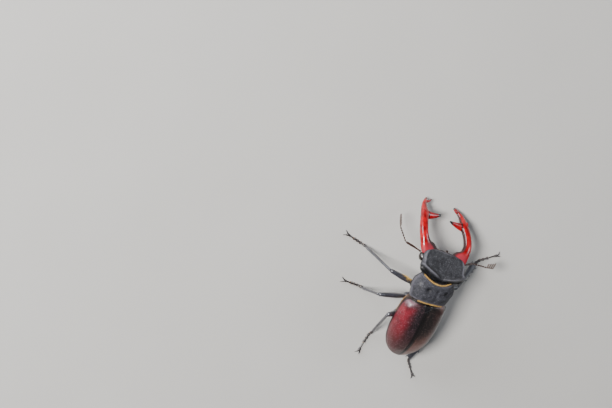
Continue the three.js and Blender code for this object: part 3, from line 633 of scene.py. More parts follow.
JAW_HINGE = (6.3, -8.0, 0)
JAW_OPEN = {"left": 9.5, "right": -2.0}
JAW_LINE = [[-0.6, -1.2, -0.5], [2.1, 1.2, -0.2], [5.1, 2.2, -0.2], [8.5, 2.0, -1.0], [11.8, 1.1, -2.3],
            [15.0, 0.3, -4.1], [18.0, -1.8, -6.1]]
JAW_WIDTH = [[0, 5.4], [0.09, 5.5], [0.15, 4.4], [0.22, 3.3], [0.34, 2.8], [0.62, 2.8], [0.8, 1.8],
             [0.93, 1.0], [1, 0.3]]
JAW_DEPTH = [[0, 2.8], [0.15, 2.8], [0.4, 2.5], [0.65, 2.2], [0.85, 1.5], [1, 0.35]]
JAW_TEETH = [
    {"at": 0.64, "length": 5.4, "width": 4.0, "depth": 2.0, "aim": (0, -1, 0.05), "curve": 0.35,
     "black": 1.9},
    {"at": 0.88, "length": 2.4, "width": 1.5, "depth": 1.1, "aim": (0.35, -1, 0.1), "curve": 0.2,
     "black": 0.8},
    {"at": 0.5, "length": 0.7, "width": 1.0, "depth": 0.9, "aim": (0.15, -1, 0), "curve": 0},
    {"at": 0.56, "length": 0.55, "width": 0.8, "depth": 0.8, "aim": (0.15, -1, 0), "curve": 0},
    {"at": 0.75, "length": 0.8, "width": 0.9, "depth": 0.8, "aim": (0.15, -1, 0), "curve": 0},
    {"at": 0.81, "length": 0.5, "width": 0.7, "depth": 0.7, "aim": (0.15, -1, 0), "curve": 0},
]
JAW_TIP_BLACK = 0.9
# Where the painted shade on the inner side of each jaw begins; it reaches farther over the root of the left
# jaw.
JAW_INNER_SHADE = {"left": 0.15, "right": 0.6, "beyond_root": 0.6, "root_ends": 0.34, "root_fades": 0.1}
JAW_VOXEL = 0.11
LEAST_END = 0.02


def smooth_line(points, count):
    """Evenly spaced points, with directions, on one smooth curve through a few points."""
    points = np.array(points, float)
    points = np.concatenate([[2 * points[0] - points[1]], points, [2 * points[-1] - points[-2]]])
    run = []
    for p0, p1, p2, p3 in zip(points, points[1:], points[2:], points[3:]):
        knots = np.concatenate([[0], np.cumsum([np.sqrt(np.linalg.norm(b - a)) for a, b in
                                                ((p0, p1), (p1, p2), (p2, p3))])])
        t = np.linspace(knots[1], knots[2], 40, endpoint=False)[:, None]

        def between(a, b, i, j):
            return a * (knots[j] - t) / (knots[j] - knots[i]) + b * (t - knots[i]) / (knots[j] - knots[i])

        a1, a2, a3 = between(p0, p1, 0, 1), between(p1, p2, 1, 2), between(p2, p3, 2, 3)
        run.append(between(between(a1, a2, 0, 2), between(a2, a3, 1, 3), 1, 2))
    run = np.concatenate([*run, points[-2:-1]])
    length = np.concatenate([[0], np.cumsum(np.linalg.norm(np.diff(run, axis=0), axis=1))])
    share = np.linspace(0, length[-1], count + 1)
    spots = np.stack([np.interp(share, length, run[:, k]) for k in range(3)], -1)
    ways = np.gradient(spots, axis=0)
    return spots, ways / np.linalg.norm(ways, axis=1, keepdims=True)


def unit(vectors):
    vectors = np.asarray(vectors, float)
    return vectors / np.linalg.norm(vectors, axis=-1, keepdims=True)


def tube(line, width, depth=None, flat=(0, 0, 1), rings=60, sides=32, ends=(0, 0), squareness=2.0):
    """A rod along a line: width across `flat`, depth along it or the same, its ends rounded over a share."""
    depth = depth or width
    spots, ways = smooth_line(line, rings)
    across = unit(np.cross(ways, flat))
    up = np.cross(across, ways)
    t = np.linspace(0, 1, rings + 1)
    blunt = np.ones_like(t)
    for share, from_end in zip(ends, (t, 1 - t)):
        if share:
            blunt = blunt * np.maximum(quarter_round(from_end / share), LEAST_END)
    turn = np.linspace(0, 2 * np.pi, sides, endpoint=False)
    x = (blunt * width(t) / 2)[:, None] * bent(np.cos(turn), squareness)
    z = (blunt * depth(t) / 2)[:, None] * bent(np.sin(turn), squareness)
    return skin(spots[:, None] + x[..., None] * across[:, None] + z[..., None] * up[:, None])


def prong(root, aim, length, width, depth, flat=(0, 0, 1), curve=0.0, sideways=(0, 0, 0), slim=0.8):
    """A tapering tooth or spine, sunk into what carries it and curved towards `sideways`."""
    root, aim = np.asarray(root, float), unit(aim)
    sunk, end = root - aim * width * 0.5, root + aim * length
    bow = np.asarray(sideways, float) * curve
    line = [sunk, (sunk + end) / 2 + bow * 0.6, end - bow]
    taper = profile([[0, 1], [0.35, slim], [0.8, 0.45 * slim], [1, 0.12]])
    return tube(line, lambda t: width * taper(t), lambda t: depth * taper(t), flat, 26, 20, (0, 0.06))


def joined(parts):
    points, faces, start = [], [], 0
    for some_points, some_faces in parts:
        points.append(some_points)
        faces += [[start + corner for corner in face] for face in some_faces]
        start += len(some_points)
    return np.concatenate(points), faces


def grown(parts, voxel, easing=5):
    """Closed surfaces grown together into one, with soft fillets where they meet."""
    rough = new_object("rough", *joined(parts))
    remesh = rough.modifiers.new("grown", "REMESH")
    remesh.mode, remesh.voxel_size = "VOXEL", voxel
    ease = rough.modifiers.new("eased", "SMOOTH")
    ease.factor, ease.iterations = 0.5, easing
    shaped = rough.evaluated_get(bpy.context.evaluated_depsgraph_get()).to_mesh()
    points = np.empty(len(shaped.vertices) * 3)
    shaped.vertices.foreach_get("co", points)
    faces = [list(polygon.vertices) for polygon in shaped.polygons]
    old = rough.data
    bpy.data.objects.remove(rough)
    bpy.data.meshes.remove(old)
    return points.reshape(-1, 3), faces


def jaw_mesh(side_name):
    """A jaw and, on its skin: how far along it a point lies, painted shade on its inner side and its black
    tips.
    """
    side = SIDES[side_name]

    def placed(ahead, out, up):
        return np.array([side * out, -ahead, up])

    line = [placed(*point) for point in JAW_LINE]
    width, depth = profile(JAW_WIDTH), profile(JAW_DEPTH)
    spots, ways = smooth_line(line, 200)
    parts = [tube(line, width, depth, rings=110, sides=48, ends=(0, 0.03), squareness=2.25)]
    black_tips = [(spots[-1], JAW_TIP_BLACK)]
    for tooth in JAW_TEETH:
        aim = unit(placed(*tooth["aim"]))
        root = spots[round(tooth["at"] * 200)] + aim * width(tooth["at"]) * 0.4
        parts.append(prong(root, aim, tooth["length"], tooth["width"], tooth["depth"],
                           curve=tooth["curve"], sideways=placed(-1, 0, 0), slim=0.66))
        if "black" in tooth:
            black_tips.append((root + aim * tooth["length"], tooth["black"]))
    points, faces = grown(parts, JAW_VOXEL)
    nearest = np.argmin(np.linalg.norm(points[:, None] - spots[None, ::2], axis=2), axis=1) * 2
    across = unit(np.cross(ways, (0, 0, 1)))[nearest]
    inward = np.sum((points - spots[nearest]) * across, 1) * side / (width(nearest / 200) / 2)
    gap = np.min([np.linalg.norm(points - tip, axis=1) / reach for tip, reach in black_tips], 0)
    along = nearest / 200
    root = np.clip((JAW_INNER_SHADE["root_ends"] - along) / JAW_INNER_SHADE["root_fades"], 0, 1)
    edge = root * JAW_INNER_SHADE[side_name] + (1 - root) * JAW_INNER_SHADE["beyond_root"]
    inner = np.clip((inward - edge) / 0.3, 0, 1) * (inward < 1.2)
    return points, faces, {"along": along, "inner": inner, "tip": np.clip(1.3 - gap, 0, 1)}


glossy_red, start = new_finish("glossy_red_chitin")
along, cloud = start.field("along"), start.grain(1.6, 4)
colour = cloud.rise(0.35, 0.7).tint((0.42, 0.001, 0.005), (0.16, 0.001, 0.003))
colour = (along.rise(0.2, 0.1) * (0.35 + 0.6 * cloud)).tint(colour, (0.30, 0.02, 0.04))
# Painted shade: the inner side of each jaw painted near black, from farther out near the root of the left
# jaw.
colour = (start.field("inner") * 0.95).tint(colour, (0.008, 0.003, 0.003))
colour = start.field("tip").rise(0.1, 0.8).tint(colour, (0.006, 0.003, 0.004))
roughness = 0.2 + along.rise(0.22, 0.12) * 0.3 + 0.08 * start.grain(0.5)
start.surface(colour, roughness, start.grain(0.35, 3) + start.cells(0.5).rise(0, 0.3) * 0.4, 0.025,
              Coat_Weight=0.4, Coat_Roughness=0.07)
for name, side in SIDES.items():
    x, y, z = JAW_HINGE
    hinge = head_axes @ moved(side * x, y, z) @ turned(side * JAW_OPEN[name], "Z")
    points, faces, fields = jaw_mesh(name)
    piece(f"jaw_{name}", hinge, points, faces, glossy_red, "jaw", [f"mandible_{name}"], fields)


# ---------------------------------------------------------------- feelers
# Elbowed feelers of brown-black chitin: a long stalk, six beads, then a club of four velvety leaves
# that all point one way. Each stalk sits in a socket between jaw and eye.

FEELERS = {
    "left": [[8.0, -7.2, -1.9], [13.8, -8.8, -3.0], [16.5, -12.9, -3.6], [17.1, -15.4, -3.9]],
    "right": [[-8.0, -7.2, -1.9], [-13.4, -9.6, -2.6], [-18.6, -9.8, -2.0], [-21.1, -10.1, -1.4]],
}
STALK_WIDTH = [[0, 0.72], [0.05, 0.62], [0.12, 0.5], [0.75, 0.78], [0.92, 0.72], [1, 0.5]]
STALK_BOW = (0, 0, 0.25)
BEADS = {"count": 6, "width": 0.68, "waist": 0.26, "length": 0.5}
LEAVES = {"count": 4, "from": 0.12, "to": 0.92, "length": 2.1, "shortest": 0.75, "width": 0.78,
          "thickness": 0.46, "lean": 0.12, "sunk": 0.15}
CLUB_STEM = 0.5


def even(size):
    return lambda t: size + 0 * t


def stalk_mesh(base, elbow):
    middle = (base + elbow) / 2 + STALK_BOW
    return tube([base, middle, elbow], profile(STALK_WIDTH), rings=60, sides=20, ends=(0.03, 0.06))


def beads_mesh(start, end):
    """Beads like little cups on a thread, each wider at its far end."""
    parts = [tube([start, end], even(BEADS["waist"]), rings=8, sides=12)]
    cup = profile([[0, 0.45], [0.5, 0.8], [0.85, 1], [1, 0.8]])
    for i in range(BEADS["count"]):
        near = start + (end - start) * (i + 0.12) / BEADS["count"]
        far = start + (end - start) * (i + 0.95) / BEADS["count"]
        size = BEADS["width"] * (0.88 + 0.02 * i)
        parts.append(tube([near, far], lambda t: size * cup(t), rings=14, sides=20, ends=(0.25, 0.3)))
    return grown(parts, 0.045, 2)


def club_mesh(start, end):
    """The stem of the club with its leaves side by side, longer towards the tip."""
    aim = unit(np.array([0, -1, 0]) + LEAVES["lean"] * (end - start))
    parts = [tube([start, end], even(CLUB_STEM), rings=20, sides=20, ends=(0.1, 0.15))]
    wide = profile([[0, 0.6], [0.5, 1], [0.85, 0.95], [1, 0.7]])
    for i in range(LEAVES["count"]):
        t = i / (LEAVES["count"] - 1)
        root = start + (end - start) * (LEAVES["from"] + (LEAVES["to"] - LEAVES["from"]) * t)
        reach = LEAVES["length"] * (LEAVES["shortest"] + (1 - LEAVES["shortest"]) * t)
        parts.append(tube([root - aim * LEAVES["sunk"], root + aim * reach],
                          lambda t: LEAVES["thickness"] * wide(t), lambda t: LEAVES["width"] * wide(t),
                          rings=24, sides=20, ends=(0.05, 0.2)))
    return grown(parts, 0.05, 3)


feeler_brown, start = new_finish("brown_black_feeler_chitin")
start.surface((start.grain(0.8) * 0.9).tint((0.018, 0.011, 0.010), (0.07, 0.030, 0.020)),
              0.28 + 0.15 * start.grain(0.3), start.grain(0.2), 0.02, Coat_Weight=0.4, Coat_Roughness=0.15)
club_velvet, start = new_finish("velvety_club")
start.surface(start.grain(0.4).tint((0.05, 0.036, 0.03), (0.13, 0.10, 0.085)), 0.75 + 0.1 * start.grain(0.2),
              start.grain(0.07, 2), 0.03, Sheen_Weight=0.35, Sheen_Roughness=0.5)
for name, joints in FEELERS.items():
    base, elbow, club_start, tip = np.array(joints)
    for part, mesh, finish in (("scape", stalk_mesh(base, elbow), feeler_brown),
                               ("funicle", beads_mesh(elbow, club_start), feeler_brown),
                               ("club", club_mesh(club_start, tip), club_velvet)):
        piece(f"feeler_{name}_{part}", head_axes, *mesh, finish, "feeler", [f"antenna_{name}_{part}"])


# ---------------------------------------------------------------- mouth parts
# Below the lip a soft brush of golden hairs licks up sap. It grows from a fleshy pad between two
# pairs of short jointed palps of brown chitin; one pair shows.

MOUTH_AT = (0, -8.1, -2.9)
MOUTH_RADII = (2.1, 1.6, 0.9)
PALP_AT = (2.6, -8.0, -3.2)
PALP_LINE = [[0, 0, 0], [0.6, -1.2, -0.6], [1.1, -2.3, -0.9], [1.2, -3.2, -1.5]]
PALP_WIDTH = [[0, 0.55], [0.28, 0.7], [0.33, 0.6], [0.36, 0.42], [0.39, 0.55], [0.62, 0.74], [0.66, 0.66],
              [0.69, 0.44], [0.72, 0.56], [0.9, 0.78], [1, 0.66]]
TUFT = {"steps": 5, "sides": 4, "broad": 1.6, "thin": 0.6, "taper": 0.85}
MAP_PATCH = 0.003
MAP_SPAN = 0.996


def tufts(name, axes, roots, ways, bows, lengths, width, spots, finish, slot="mouth_brush"):
    """Many flattened tapering tufts as one piece. Each curves from its way towards its bow.

    `spots` are the roots' places, from 0 to 1, on the unrolled skin that carries them. Each tuft's
    patch of the coat's own map lies there.
    """
    rng = np.random.default_rng(len(roots))
    count, steps, sides = len(roots), TUFT["steps"], TUFT["sides"]
    ways, bows = unit(ways)[:, None], np.asarray(bows, float)[:, None]
    share = np.linspace(0, 1, steps)
    t = share[None, :, None]
    middle = roots[:, None] + lengths[:, None, None] * (t * ways + t**2 * bows)
    along = unit(ways + 2 * t * bows)
    side = unit(np.cross(along, rng.normal(size=(count, 1, 3)) * 0.5 + [0.2, 0.3, 1]))
    flat = np.cross(along, side)
    taper = width[:, None] / 2 * (1 - TUFT["taper"] * share**1.5)
    turn = (np.arange(sides) * 2 * np.pi / sides)[:, None]
    ring = np.cos(turn) * side[:, :, None] * TUFT["broad"] + np.sin(turn) * flat[:, :, None] * TUFT["thin"]
    points = middle[:, :, None] + taper[:, :, None, None] * ring
    i, j = np.meshgrid(np.arange(steps - 1), np.arange(sides), indexing="ij")
    here, there = i * sides + j, i * sides + (j + 1) % sides
    one = np.stack([here, here + sides, there + sides, there], -1).reshape(-1, 4)
    top = (steps - 1) * sides
    one = np.concatenate([one, [[0, 1, 2, 3]], [[top + 3, top + 2, top + 1, top]]])
    faces = (one[None] + (np.arange(count) * steps * sides)[:, None, None]).reshape(-1, 4)
    tone = {"tone": np.repeat(rng.random(count), steps * sides)}
    made = piece(name, axes, points.reshape(-1, 3), faces.tolist(), finish, slot, fields=tone)
    patch = MAP_PATCH * np.stack([np.tile(np.arange(sides), steps) / sides, np.repeat(share, sides)], -1)
    flat_map = (np.asarray(spots)[:, None] * MAP_SPAN + patch[None]).reshape(-1, 2)
    corners = np.empty(len(made.data.loops), int)
    made.data.loops.foreach_get("vertex_index", corners)
    layer = made.data.uv_layers.new(name="OFBake")
    layer.data.foreach_set("uv", flat_map[corners].astype(np.float32).ravel())


def hair_finish(name, dark, light):
    """Hairs whose colour changes only from tuft to tuft."""
    material, start = new_finish(name)
    start.surface(start.field("tone").tint(dark, light), 0.4 + 0.2 * start.field("tone"), Sheen_Weight=0.2)
    return material


golden = hair_finish("golden_hair", (0.30, 0.14, 0.02), (0.78, 0.50, 0.12))

pad_points, pad_faces = dome(MOUTH_RADII, 24, 36)
pad, start = new_finish("mouth_pad")
start.surface(start.grain(0.5).tint((0.20, 0.09, 0.02), (0.36, 0.17, 0.04)), 0.6 + 0.1 * start.grain(0.2),
              start.grain(0.1), 0.05)
piece("mouth_pad", head_axes, pad_points + MOUTH_AT, pad_faces, pad, "mouth_brush", ["mouth"])

rng = np.random.default_rng(3)
count = 900
turn, height = rng.uniform(-np.pi, np.pi, count), rng.uniform(0.05, 0.98, count)
round_pad = np.sqrt(1 - height**2)
out = np.stack([round_pad * np.cos(turn), -height, round_pad * np.sin(turn)], -1)
tufts("mouth_brush", head_axes, MOUTH_AT + out * MOUTH_RADII * 0.97, out + [0, -0.9, -0.5],
      np.tile([0, -0.1, -0.3], (count, 1)), rng.uniform(0.4, 0.8, count), rng.uniform(0.05, 0.09, count),
      np.stack([turn / 2 / np.pi + 0.5, height], -1), golden)

for name, side in SIDES.items():
    line = (np.array(PALP_LINE) + PALP_AT) * [side, 1, 1]
    palp = tube(line, profile(PALP_WIDTH), rings=80, sides=20, ends=(0.03, 0.06))
    piece(f"jointed_palp_{name}", head_axes, *palp, feeler_brown, "feeler", [f"palp_{name}"])


# ---------------------------------------------------------------- legs
# Six jointed legs of polished black chitin, with paler tones that are partly their own and partly a painted
# silvery sky sheen.
# Each is a rounded hip, a stout thigh, a flattened shin with spines on its outer edge, and a foot of five
# joints with a pair of claws.

LEGS = {
    "fore_left": {"hip": [3.4, -2.6, -5.0], "knee": [14.1, -7.3, 13.1], "ankle": [18.8, -10.4, 1.9],
                  "foot": [26.5, -13.4, 0.4]},
    "fore_right": {"hip": [-3.4, -2.6, -5.0], "knee": [-13.4, -3.9, 8.5], "ankle": [-20.3, -10.6, 1.9],
                   "foot": [-28.7, -14.6, 0.4]},
    "middle_left": {"hip": [3.6, 3.2, -5.0], "knee": [15.9, 1.2, 13.3], "ankle": [15.9, 3.3, 1.9],
                    "foot": [23.0, 2.1, 0.4]},
    "middle_right": {"hip": [-3.6, 3.2, -5.0], "knee": [-12.4, 4.6, 6.0], "ankle": [-12.0, 13.8, 1.9],
                     "foot": [-9.7, 21.0, 0.4]},
    "hind_left": {"hip": [3.2, 10.0, -5.0], "knee": [10.7, 7.5, 13.2], "ankle": [8.2, 16.8, 1.9],
                  "foot": [10.9, 25.0, 0.4]},
    "hind_right": {"hip": [-3.2, 10.0, -5.0], "knee": [-9.3, 15.2, 7.4], "ankle": [-6.9, 24.2, 1.9],
                   "foot": [-10.7, 30.6, 0.4]},
}
HIP_RADII = {"fore": (2.1, 1.5, 1.5), "middle": (2.0, 1.5, 1.3), "hind": (2.9, 1.3, 1.2)}
THIGH = {
    "start": 1.0,
    "groove": {"at": 0.09, "width": 0.02, "depth": 0.12},
    "width": [[0, 1.3], [0.12, 1.7], [0.45, 2.5], [0.8, 2.0], [0.94, 1.7], [1, 1.5]],
    "depth": [[0, 1.1], [0.12, 1.4], [0.45, 1.8], [0.8, 1.5], [1, 1.3]],
}
SHIN = {
    "fore": {"width": [[0, 1.25], [0.06, 1.0], [0.15, 1.2], [0.7, 1.85], [0.92, 2.3], [1, 1.9]],
             "depth": [[0, 1.1], [0.1, 0.85], [0.6, 0.9], [1, 0.9]],
             "spines": [0.36, 0.56, 0.74, 0.92], "spurs": [0.6, -0.6]},
    "middle": {"width": [[0, 1.2], [0.07, 0.95], [0.2, 1.1], [0.8, 1.5], [1, 1.6]],
               "depth": [[0, 1.05], [0.1, 0.85], [0.6, 0.95], [1, 1.0]],
               "spines": [0.42, 0.68], "spurs": [0.5, -0.6]},
    "hind": {"width": [[0, 1.2], [0.07, 0.95], [0.2, 1.1], [0.8, 1.5], [1, 1.6]],
             "depth": [[0, 1.05], [0.1, 0.85], [0.6, 0.95], [1, 1.0]],
             "spines": [0.6], "spurs": [0.5, -0.6]},
}
SPINE = {"length": 1.0, "width": 0.8, "depth": 0.55, "lean": 0.7, "sink": 0.35}
SPUR = {"length": 1.5, "width": 0.6, "depth": 0.5, "at": 0.94, "splay": 0.5}
FOOT = {"joints": [0, 0.16, 0.31, 0.46, 0.62, 1], "height": 0.42, "least_height": 0.005, "settles": 0.28,
        "lift_from": 0.75, "lift": 0.25,
        "joint_width": [[0, 0.4], [0.1, 0.52], [0.45, 0.7], [0.85, 1.0], [1, 0.72]],
        "claw_joint_width": [[0, 0.4], [0.1, 0.45], [0.55, 0.56], [0.85, 0.85], [1, 0.62]]}
CLAW = {"at": 0.93, "length": 1.5, "width": 0.44, "bends": 0.6, "spread": (0.5, 0.95), "arch": 0.15,
        "tip": 0.15}


def thigh_mesh(hip, knee, bend):
    """A thigh with a shallow groove round its root, where it parts from the hip."""
    start = hip + unit(knee - hip) * THIGH["start"]
    plain, groove = profile(THIGH["width"]), THIGH["groove"]
    return tube([start, (start + knee) / 2, knee],
                lambda t: plain(t) * (1 - groove["depth"] * hill(t, groove["at"], groove["width"])),
                profile(THIGH["depth"]), bend, rings=70, sides=40, ends=(0.04, 0.06), squareness=2.2)


def shin_mesh(pair, knee, ankle, bend, outward):
    sizes = SHIN[pair]
    width, depth = profile(sizes["width"]), profile(sizes["depth"])
    along = unit(ankle - knee)
    parts = [tube([knee, (knee + ankle) / 2, ankle], width, depth, bend, rings=70, sides=36,
                  ends=(0.05, 0.03), squareness=2.5)]
    for t in sizes["spines"]:
        root = knee + (ankle - knee) * t + outward * width(t) * SPINE["sink"]
        parts.append(prong(root, outward + along * SPINE["lean"], SPINE["length"], SPINE["width"],
                           SPINE["depth"], flat=bend, curve=0.15, sideways=-along))
    for lean in sizes["spurs"]:
        root = knee + (ankle - knee) * SPUR["at"] + outward * lean
        parts.append(prong(root, along + outward * lean * SPUR["splay"], SPUR["length"], SPUR["width"],
                           SPUR["depth"], flat=bend, curve=0.1, sideways=outward * np.sign(lean)))
    return grown(parts, 0.085, 3)


def foot_path(ankle, foot, t):
    """A point of the foot's middle line, which comes down from the ankle and lifts at the claws."""
    eased = np.clip(np.array([t / FOOT["settles"], (t - FOOT["lift_from"]) / (1 - FOOT["lift_from"])]), 0, 1)
    settled, lifted = eased**2 * (3 - 2 * eased)
    point = ankle + (foot - ankle) * t
    point[2] = ankle[2] + (FOOT["height"] - ankle[2]) * settled + FOOT["lift"] * lifted
    return point


def foot_ways(ankle, foot):
    """The ways forward and across along the floor."""
    forward = unit((foot - ankle) * [1, 1, 0])
    return forward, np.cross((0, 0, 1), forward)


def foot_mesh(ankle, foot):
    """Five joints in a row, the last the longest, and two hooked claws."""
    forward, across = foot_ways(ankle, foot)
    parts = []
    for i, (start, end) in enumerate(zip(FOOT["joints"], FOOT["joints"][1:])):
        shape = profile(FOOT["claw_joint_width" if end == 1 else "joint_width"])
        line = [foot_path(ankle, foot, start + (end - start) * share) for share in (0.02, 0.5, 1.0)]
        parts.append(tube(line, shape, rings=26, sides=24, ends=(0.1, 0.14)))
    root = foot_path(ankle, foot, CLAW["at"])
    taper = profile([[0, 1], [0.3, 0.85], [0.75, 0.5], [1, 0.16]])
    for lean in (1, -1):
        bend = root + forward * CLAW["length"] * CLAW["bends"] + across * lean * CLAW["spread"][0]
        bend[2] += CLAW["arch"]
        tip = root + forward * CLAW["length"] + across * lean * CLAW["spread"][1]
        tip[2] = CLAW["tip"]
        parts.append(tube([root, bend, tip], lambda t: CLAW["width"] * taper(t), rings=26, sides=18,
                          ends=(0, 0.03)))
    points, faces = grown(parts, 0.06, 2)
    points[:, 2] = np.maximum(points[:, 2], FOOT["least_height"])
    return points, faces


leg_black, start = new_finish("black_leg_chitin_painted_sheen")
# Paler cloud and lilac specks: partly the chitin's own tone, partly a painted silvery sky sheen.
colour = (start.grain(2.2, 4) * 0.8).tint((0.006, 0.006, 0.008), (0.07, 0.07, 0.09))
colour = (start.grain(0.3, 3).rise(0.55, 0.7) * 0.35).tint(colour, (0.2, 0.2, 0.25))
pits = start.cells(0.3).rise(0, 0.28)
start.surface(colour, 0.24 + 0.2 * start.grain(0.7), pits * 0.7 + start.grain(0.3) * 0.6, 0.03,
              Coat_Weight=0.7, Coat_Roughness=0.2, Specular_IOR_Level=0.8)
foot_black, start = new_finish("ridged_foot_chitin")
start.surface(start.grain(0.7).tint((0.010, 0.009, 0.010), (0.06, 0.05, 0.05)), 0.3 + 0.15 * start.grain(0.3),
              start.grain(0.2), 0.03, Coat_Weight=0.3, Coat_Roughness=0.2)

limbs = {}
for name, leg in LEGS.items():
    pair, side_name = name.split("_")
    body = fore_body if pair == "fore" else hind_body
    hip = np.array(body @ Vector(leg["hip"]))
    knee, ankle, foot = (np.array(leg[key], float) for key in ("knee", "ankle", "foot"))
    bend = unit(np.cross(knee - hip, unit(ankle - knee)))
    outward = unit(np.cross(unit(ankle - knee), bend))
    outward *= np.sign(outward @ [SIDES[side_name], 0, 0.5])
    limbs[name] = (hip, knee, ankle, foot, bend, outward)
    points, faces = dome(HIP_RADII[pair], 36, 48)
    piece(f"{name}_hip", body, points * 0.97 + leg["hip"], faces, leg_black, "leg", [f"{name}_coxa"])
    piece(f"{name}_thigh", floor_axes, *thigh_mesh(hip, knee, bend), leg_black, "leg", [f"{name}_femur"])
    shin = shin_mesh(pair, knee, ankle, bend, outward)
    piece(f"{name}_shin", floor_axes, *shin, leg_black, "leg", [f"{name}_tibia"])
    piece(f"{name}_foot", floor_axes, *foot_mesh(ankle, foot), foot_black, "leg", [f"{name}_tarsus"])


# ---------------------------------------------------------------- golden hairs
# Short stiff golden hairs grow in fringes from the front and hind edges of the fore shield, in a
# patch on the front of each fore thigh, as down on the breast, and as brushes under the feet.

def edge_fringe(name, ahead, count, way, bow, length, spread, sink):
    rng = np.random.default_rng(count)
    angle = rng.uniform(radians(spread), np.pi - radians(spread), count)
    x, z = armour_section(COLLAR, np.full(count, ahead), angle)
    y = collar_notch(x, ahead, angle) - ahead
    out = unit(np.stack([x * 0.25, 0 * x, z], -1))
    ways = np.array(way) + out * rng.uniform(0.0, 0.4, (count, 1)) + rng.normal(0, 0.2, (count, 3))
    spots = np.stack([angle / 2 / np.pi, np.full(count, ahead / COLLAR["length"]) * 0.99], -1)
    tufts(name, fore_body, np.stack([x, y, z - sink], -1), ways, np.tile(bow, (count, 1)),
          rng.uniform(*length, count), rng.uniform(0.03, 0.06, count), spots, golden)


edge_fringe("front_fringe", 8.5, 1100, (0, -1, 0.1), (0, 0, -0.3), (0.3, 0.65), 16, 0.12)
edge_fringe("hind_fringe", 0.1, 800, (0, 1, 0.05), (0, 0, -0.4), (0.35, 0.65), 46, 0.1)

bright_golden = hair_finish("bright_golden_hair", (0.72, 0.36, 0.03), (0.95, 0.66, 0.14))
rng = np.random.default_rng(11)
for name in ("fore_left", "fore_right"):
    hip, knee, ankle, foot, bend, outward = limbs[name]
    count = 700
    start = hip + unit(knee - hip) * THIGH["start"]
    t = np.clip(rng.normal(0.26, 0.07, count), 0.1, 0.5)
    along = unit(knee - start)
    across = unit(np.cross(along, bend))
    up = np.cross(across, along)
    turn = rng.normal(np.pi / 2 * np.sign(up @ [0, -1, 0.6]), 0.55, count)
    reach = profile(THIGH["width"])(t) / 2 * np.cos(turn), profile(THIGH["depth"])(t) / 2 * np.sin(turn)
    out = reach[0][:, None] * across + reach[1][:, None] * up
    roots = start + (knee - start) * t[:, None] + out * 0.95
    ways = along * 1.1 + unit(out) * 0.45 + rng.normal(0, 0.15, (count, 3))
    tufts(f"{name}_thigh_patch", floor_axes, roots, ways, -0.2 * unit(out), rng.uniform(0.5, 0.9, count),
          rng.uniform(0.05, 0.08, count), np.stack([turn / 2 / np.pi % 1, t], -1), bright_golden)

count = 3000
y, angle = rng.uniform(0.5, 10.2, count), rng.uniform(-np.pi + 0.35, -0.35, count)
x, z = trunk_section(y, angle)
roots = np.stack([x, y, z + 0.05], -1)
out = unit(np.stack([np.cos(angle), 0 * y, np.sin(angle)], -1))
down = hair_finish("brown_breast_down", (0.20, 0.09, 0.025), (0.45, 0.24, 0.08))
tufts("breast_down", hind_body, roots, out * 0.35 + [0, 1, 0] + rng.normal(0, 0.15, (count, 3)), -0.15 * out,
      rng.uniform(0.5, 0.8, count), rng.uniform(0.06, 0.1, count),
      np.stack([angle / 2 / np.pi % 1, y / 12], -1), down)

for name, (hip, knee, ankle, foot, bend, outward) in limbs.items():
    forward, across = foot_ways(ankle, foot)
    count = 110
    joint, lean = rng.integers(1, 5, count), rng.uniform(-1, 1, count)
    places = np.array(FOOT["joints"])[joint] - rng.uniform(0.0, 0.035, count)
    roots = np.array([foot_path(ankle, foot, place) for place in places]) + lean[:, None] * across * 0.3
    roots[:, 2] -= 0.2
    ways = forward + lean[:, None] * across * 0.7 + [0, 0, -0.05] + rng.normal(0, 0.08, (count, 3))
    roots[:, 2] = np.maximum(roots[:, 2], 0.12)
    tufts(f"{name}_foot_brush", floor_axes, roots, ways, np.zeros((count, 3)), rng.uniform(0.25, 0.45, count),
          rng.uniform(0.03, 0.05, count), np.stack([lean * 0.2 + 0.5, places * 0.99], -1), down)


# ---------------------------------------------------------------- floor, light and camera
# A wide pale table top, a lamp high on the animal's left, a softer one low before it, a weak one on
# its right and a dim pale room around. The camera looks down from high on the animal's left front.

bpy.ops.mesh.primitive_plane_add(size=3, location=(0, 0, 0))
floor = bpy.context.object
floor.name = "table_top"
pale, start = new_finish("pale_table")
start.surface(start.grain(40).tint((0.50, 0.49, 0.47), (0.54, 0.53, 0.51)), 0.8 + 0.05 * start.grain(20))
floor.data.materials.append(pale)


def soft_lamp(name, way, distance, size, power, colour):
    lamp = bpy.data.lights.new(name, "AREA")
    lamp.shape, lamp.size, lamp.energy, lamp.color = "DISK", size, power, colour
    holder = bpy.data.objects.new(name, lamp)
    holder.location = Vector(way).normalized() * distance
    holder.rotation_euler = Vector(way).to_track_quat("Z", "Y").to_euler()
    bpy.context.scene.collection.objects.link(holder)


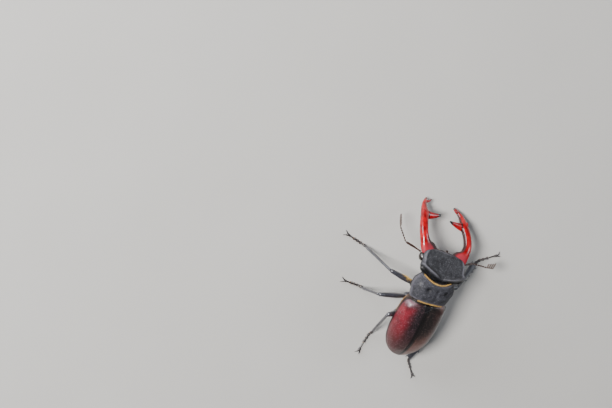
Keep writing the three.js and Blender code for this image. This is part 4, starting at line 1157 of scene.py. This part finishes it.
soft_lamp("key_lamp", (0.75, -0.2, 0.9), 0.9, 0.24, 14, (1.0, 0.98, 0.95))
soft_lamp("front_lamp", (0.78, -0.5, 0.3), 0.9, 0.45, 7, (0.92, 0.95, 1.0))
soft_lamp("far_lamp", (-0.9, -0.6, 0.6), 1.0, 0.3, 1.8, (0.86, 0.92, 1.0))
room_light = bpy.data.worlds.new("pale_room")
room_light.use_nodes = True
background = room_light.node_tree.nodes["Background"].inputs
background["Color"].default_value = (0.85, 0.9, 1.0, 1)
background["Strength"].default_value = 0.09
bpy.context.scene.world = room_light

IMAGE_WIDTH, IMAGE_HEIGHT = 612, 408
SENSOR, LENS = 36, 200
PIXELS_PER_MM = 3.107
SIGHT, RIGHT, UPWARD = (Vector(v) for v in ((0.4469, -0.2449, 0.8604), (-0.8835, -0.2716, 0.3816),
                                            (0.1403, -0.9307, -0.3377)))
CASE_BASE, CASE_BASE_PIXEL = Vector((*SPOT, BASE_HEIGHT)), (425.9, 299.8)
AIM_PIXEL = (428, 283)

focal = IMAGE_WIDTH * LENS / SENSOR
aim = (CASE_BASE + RIGHT * (AIM_PIXEL[0] - CASE_BASE_PIXEL[0]) / PIXELS_PER_MM
       + UPWARD * (CASE_BASE_PIXEL[1] - AIM_PIXEL[1]) / PIXELS_PER_MM)
off_x, off_y = (AIM_PIXEL[0] - IMAGE_WIDTH / 2) / focal, (IMAGE_HEIGHT / 2 - AIM_PIXEL[1]) / focal
distance = focal / PIXELS_PER_MM * (1 + off_x**2 + off_y**2) ** 0.5
back = (SIGHT + RIGHT * off_x + UPWARD * off_y).normalized()
right = (RIGHT - back * RIGHT.dot(back)).normalized()
turn = Matrix((right, back.cross(right), back)).transposed().to_4x4()
camera = bpy.data.objects.new("camera", bpy.data.cameras.new("camera"))
camera.data.lens, camera.data.sensor_width = LENS, SENSOR
camera.matrix_world = Matrix.Translation((aim + SIGHT * distance) * MM) @ turn
bpy.context.scene.collection.objects.link(camera)
bpy.context.scene.camera = camera
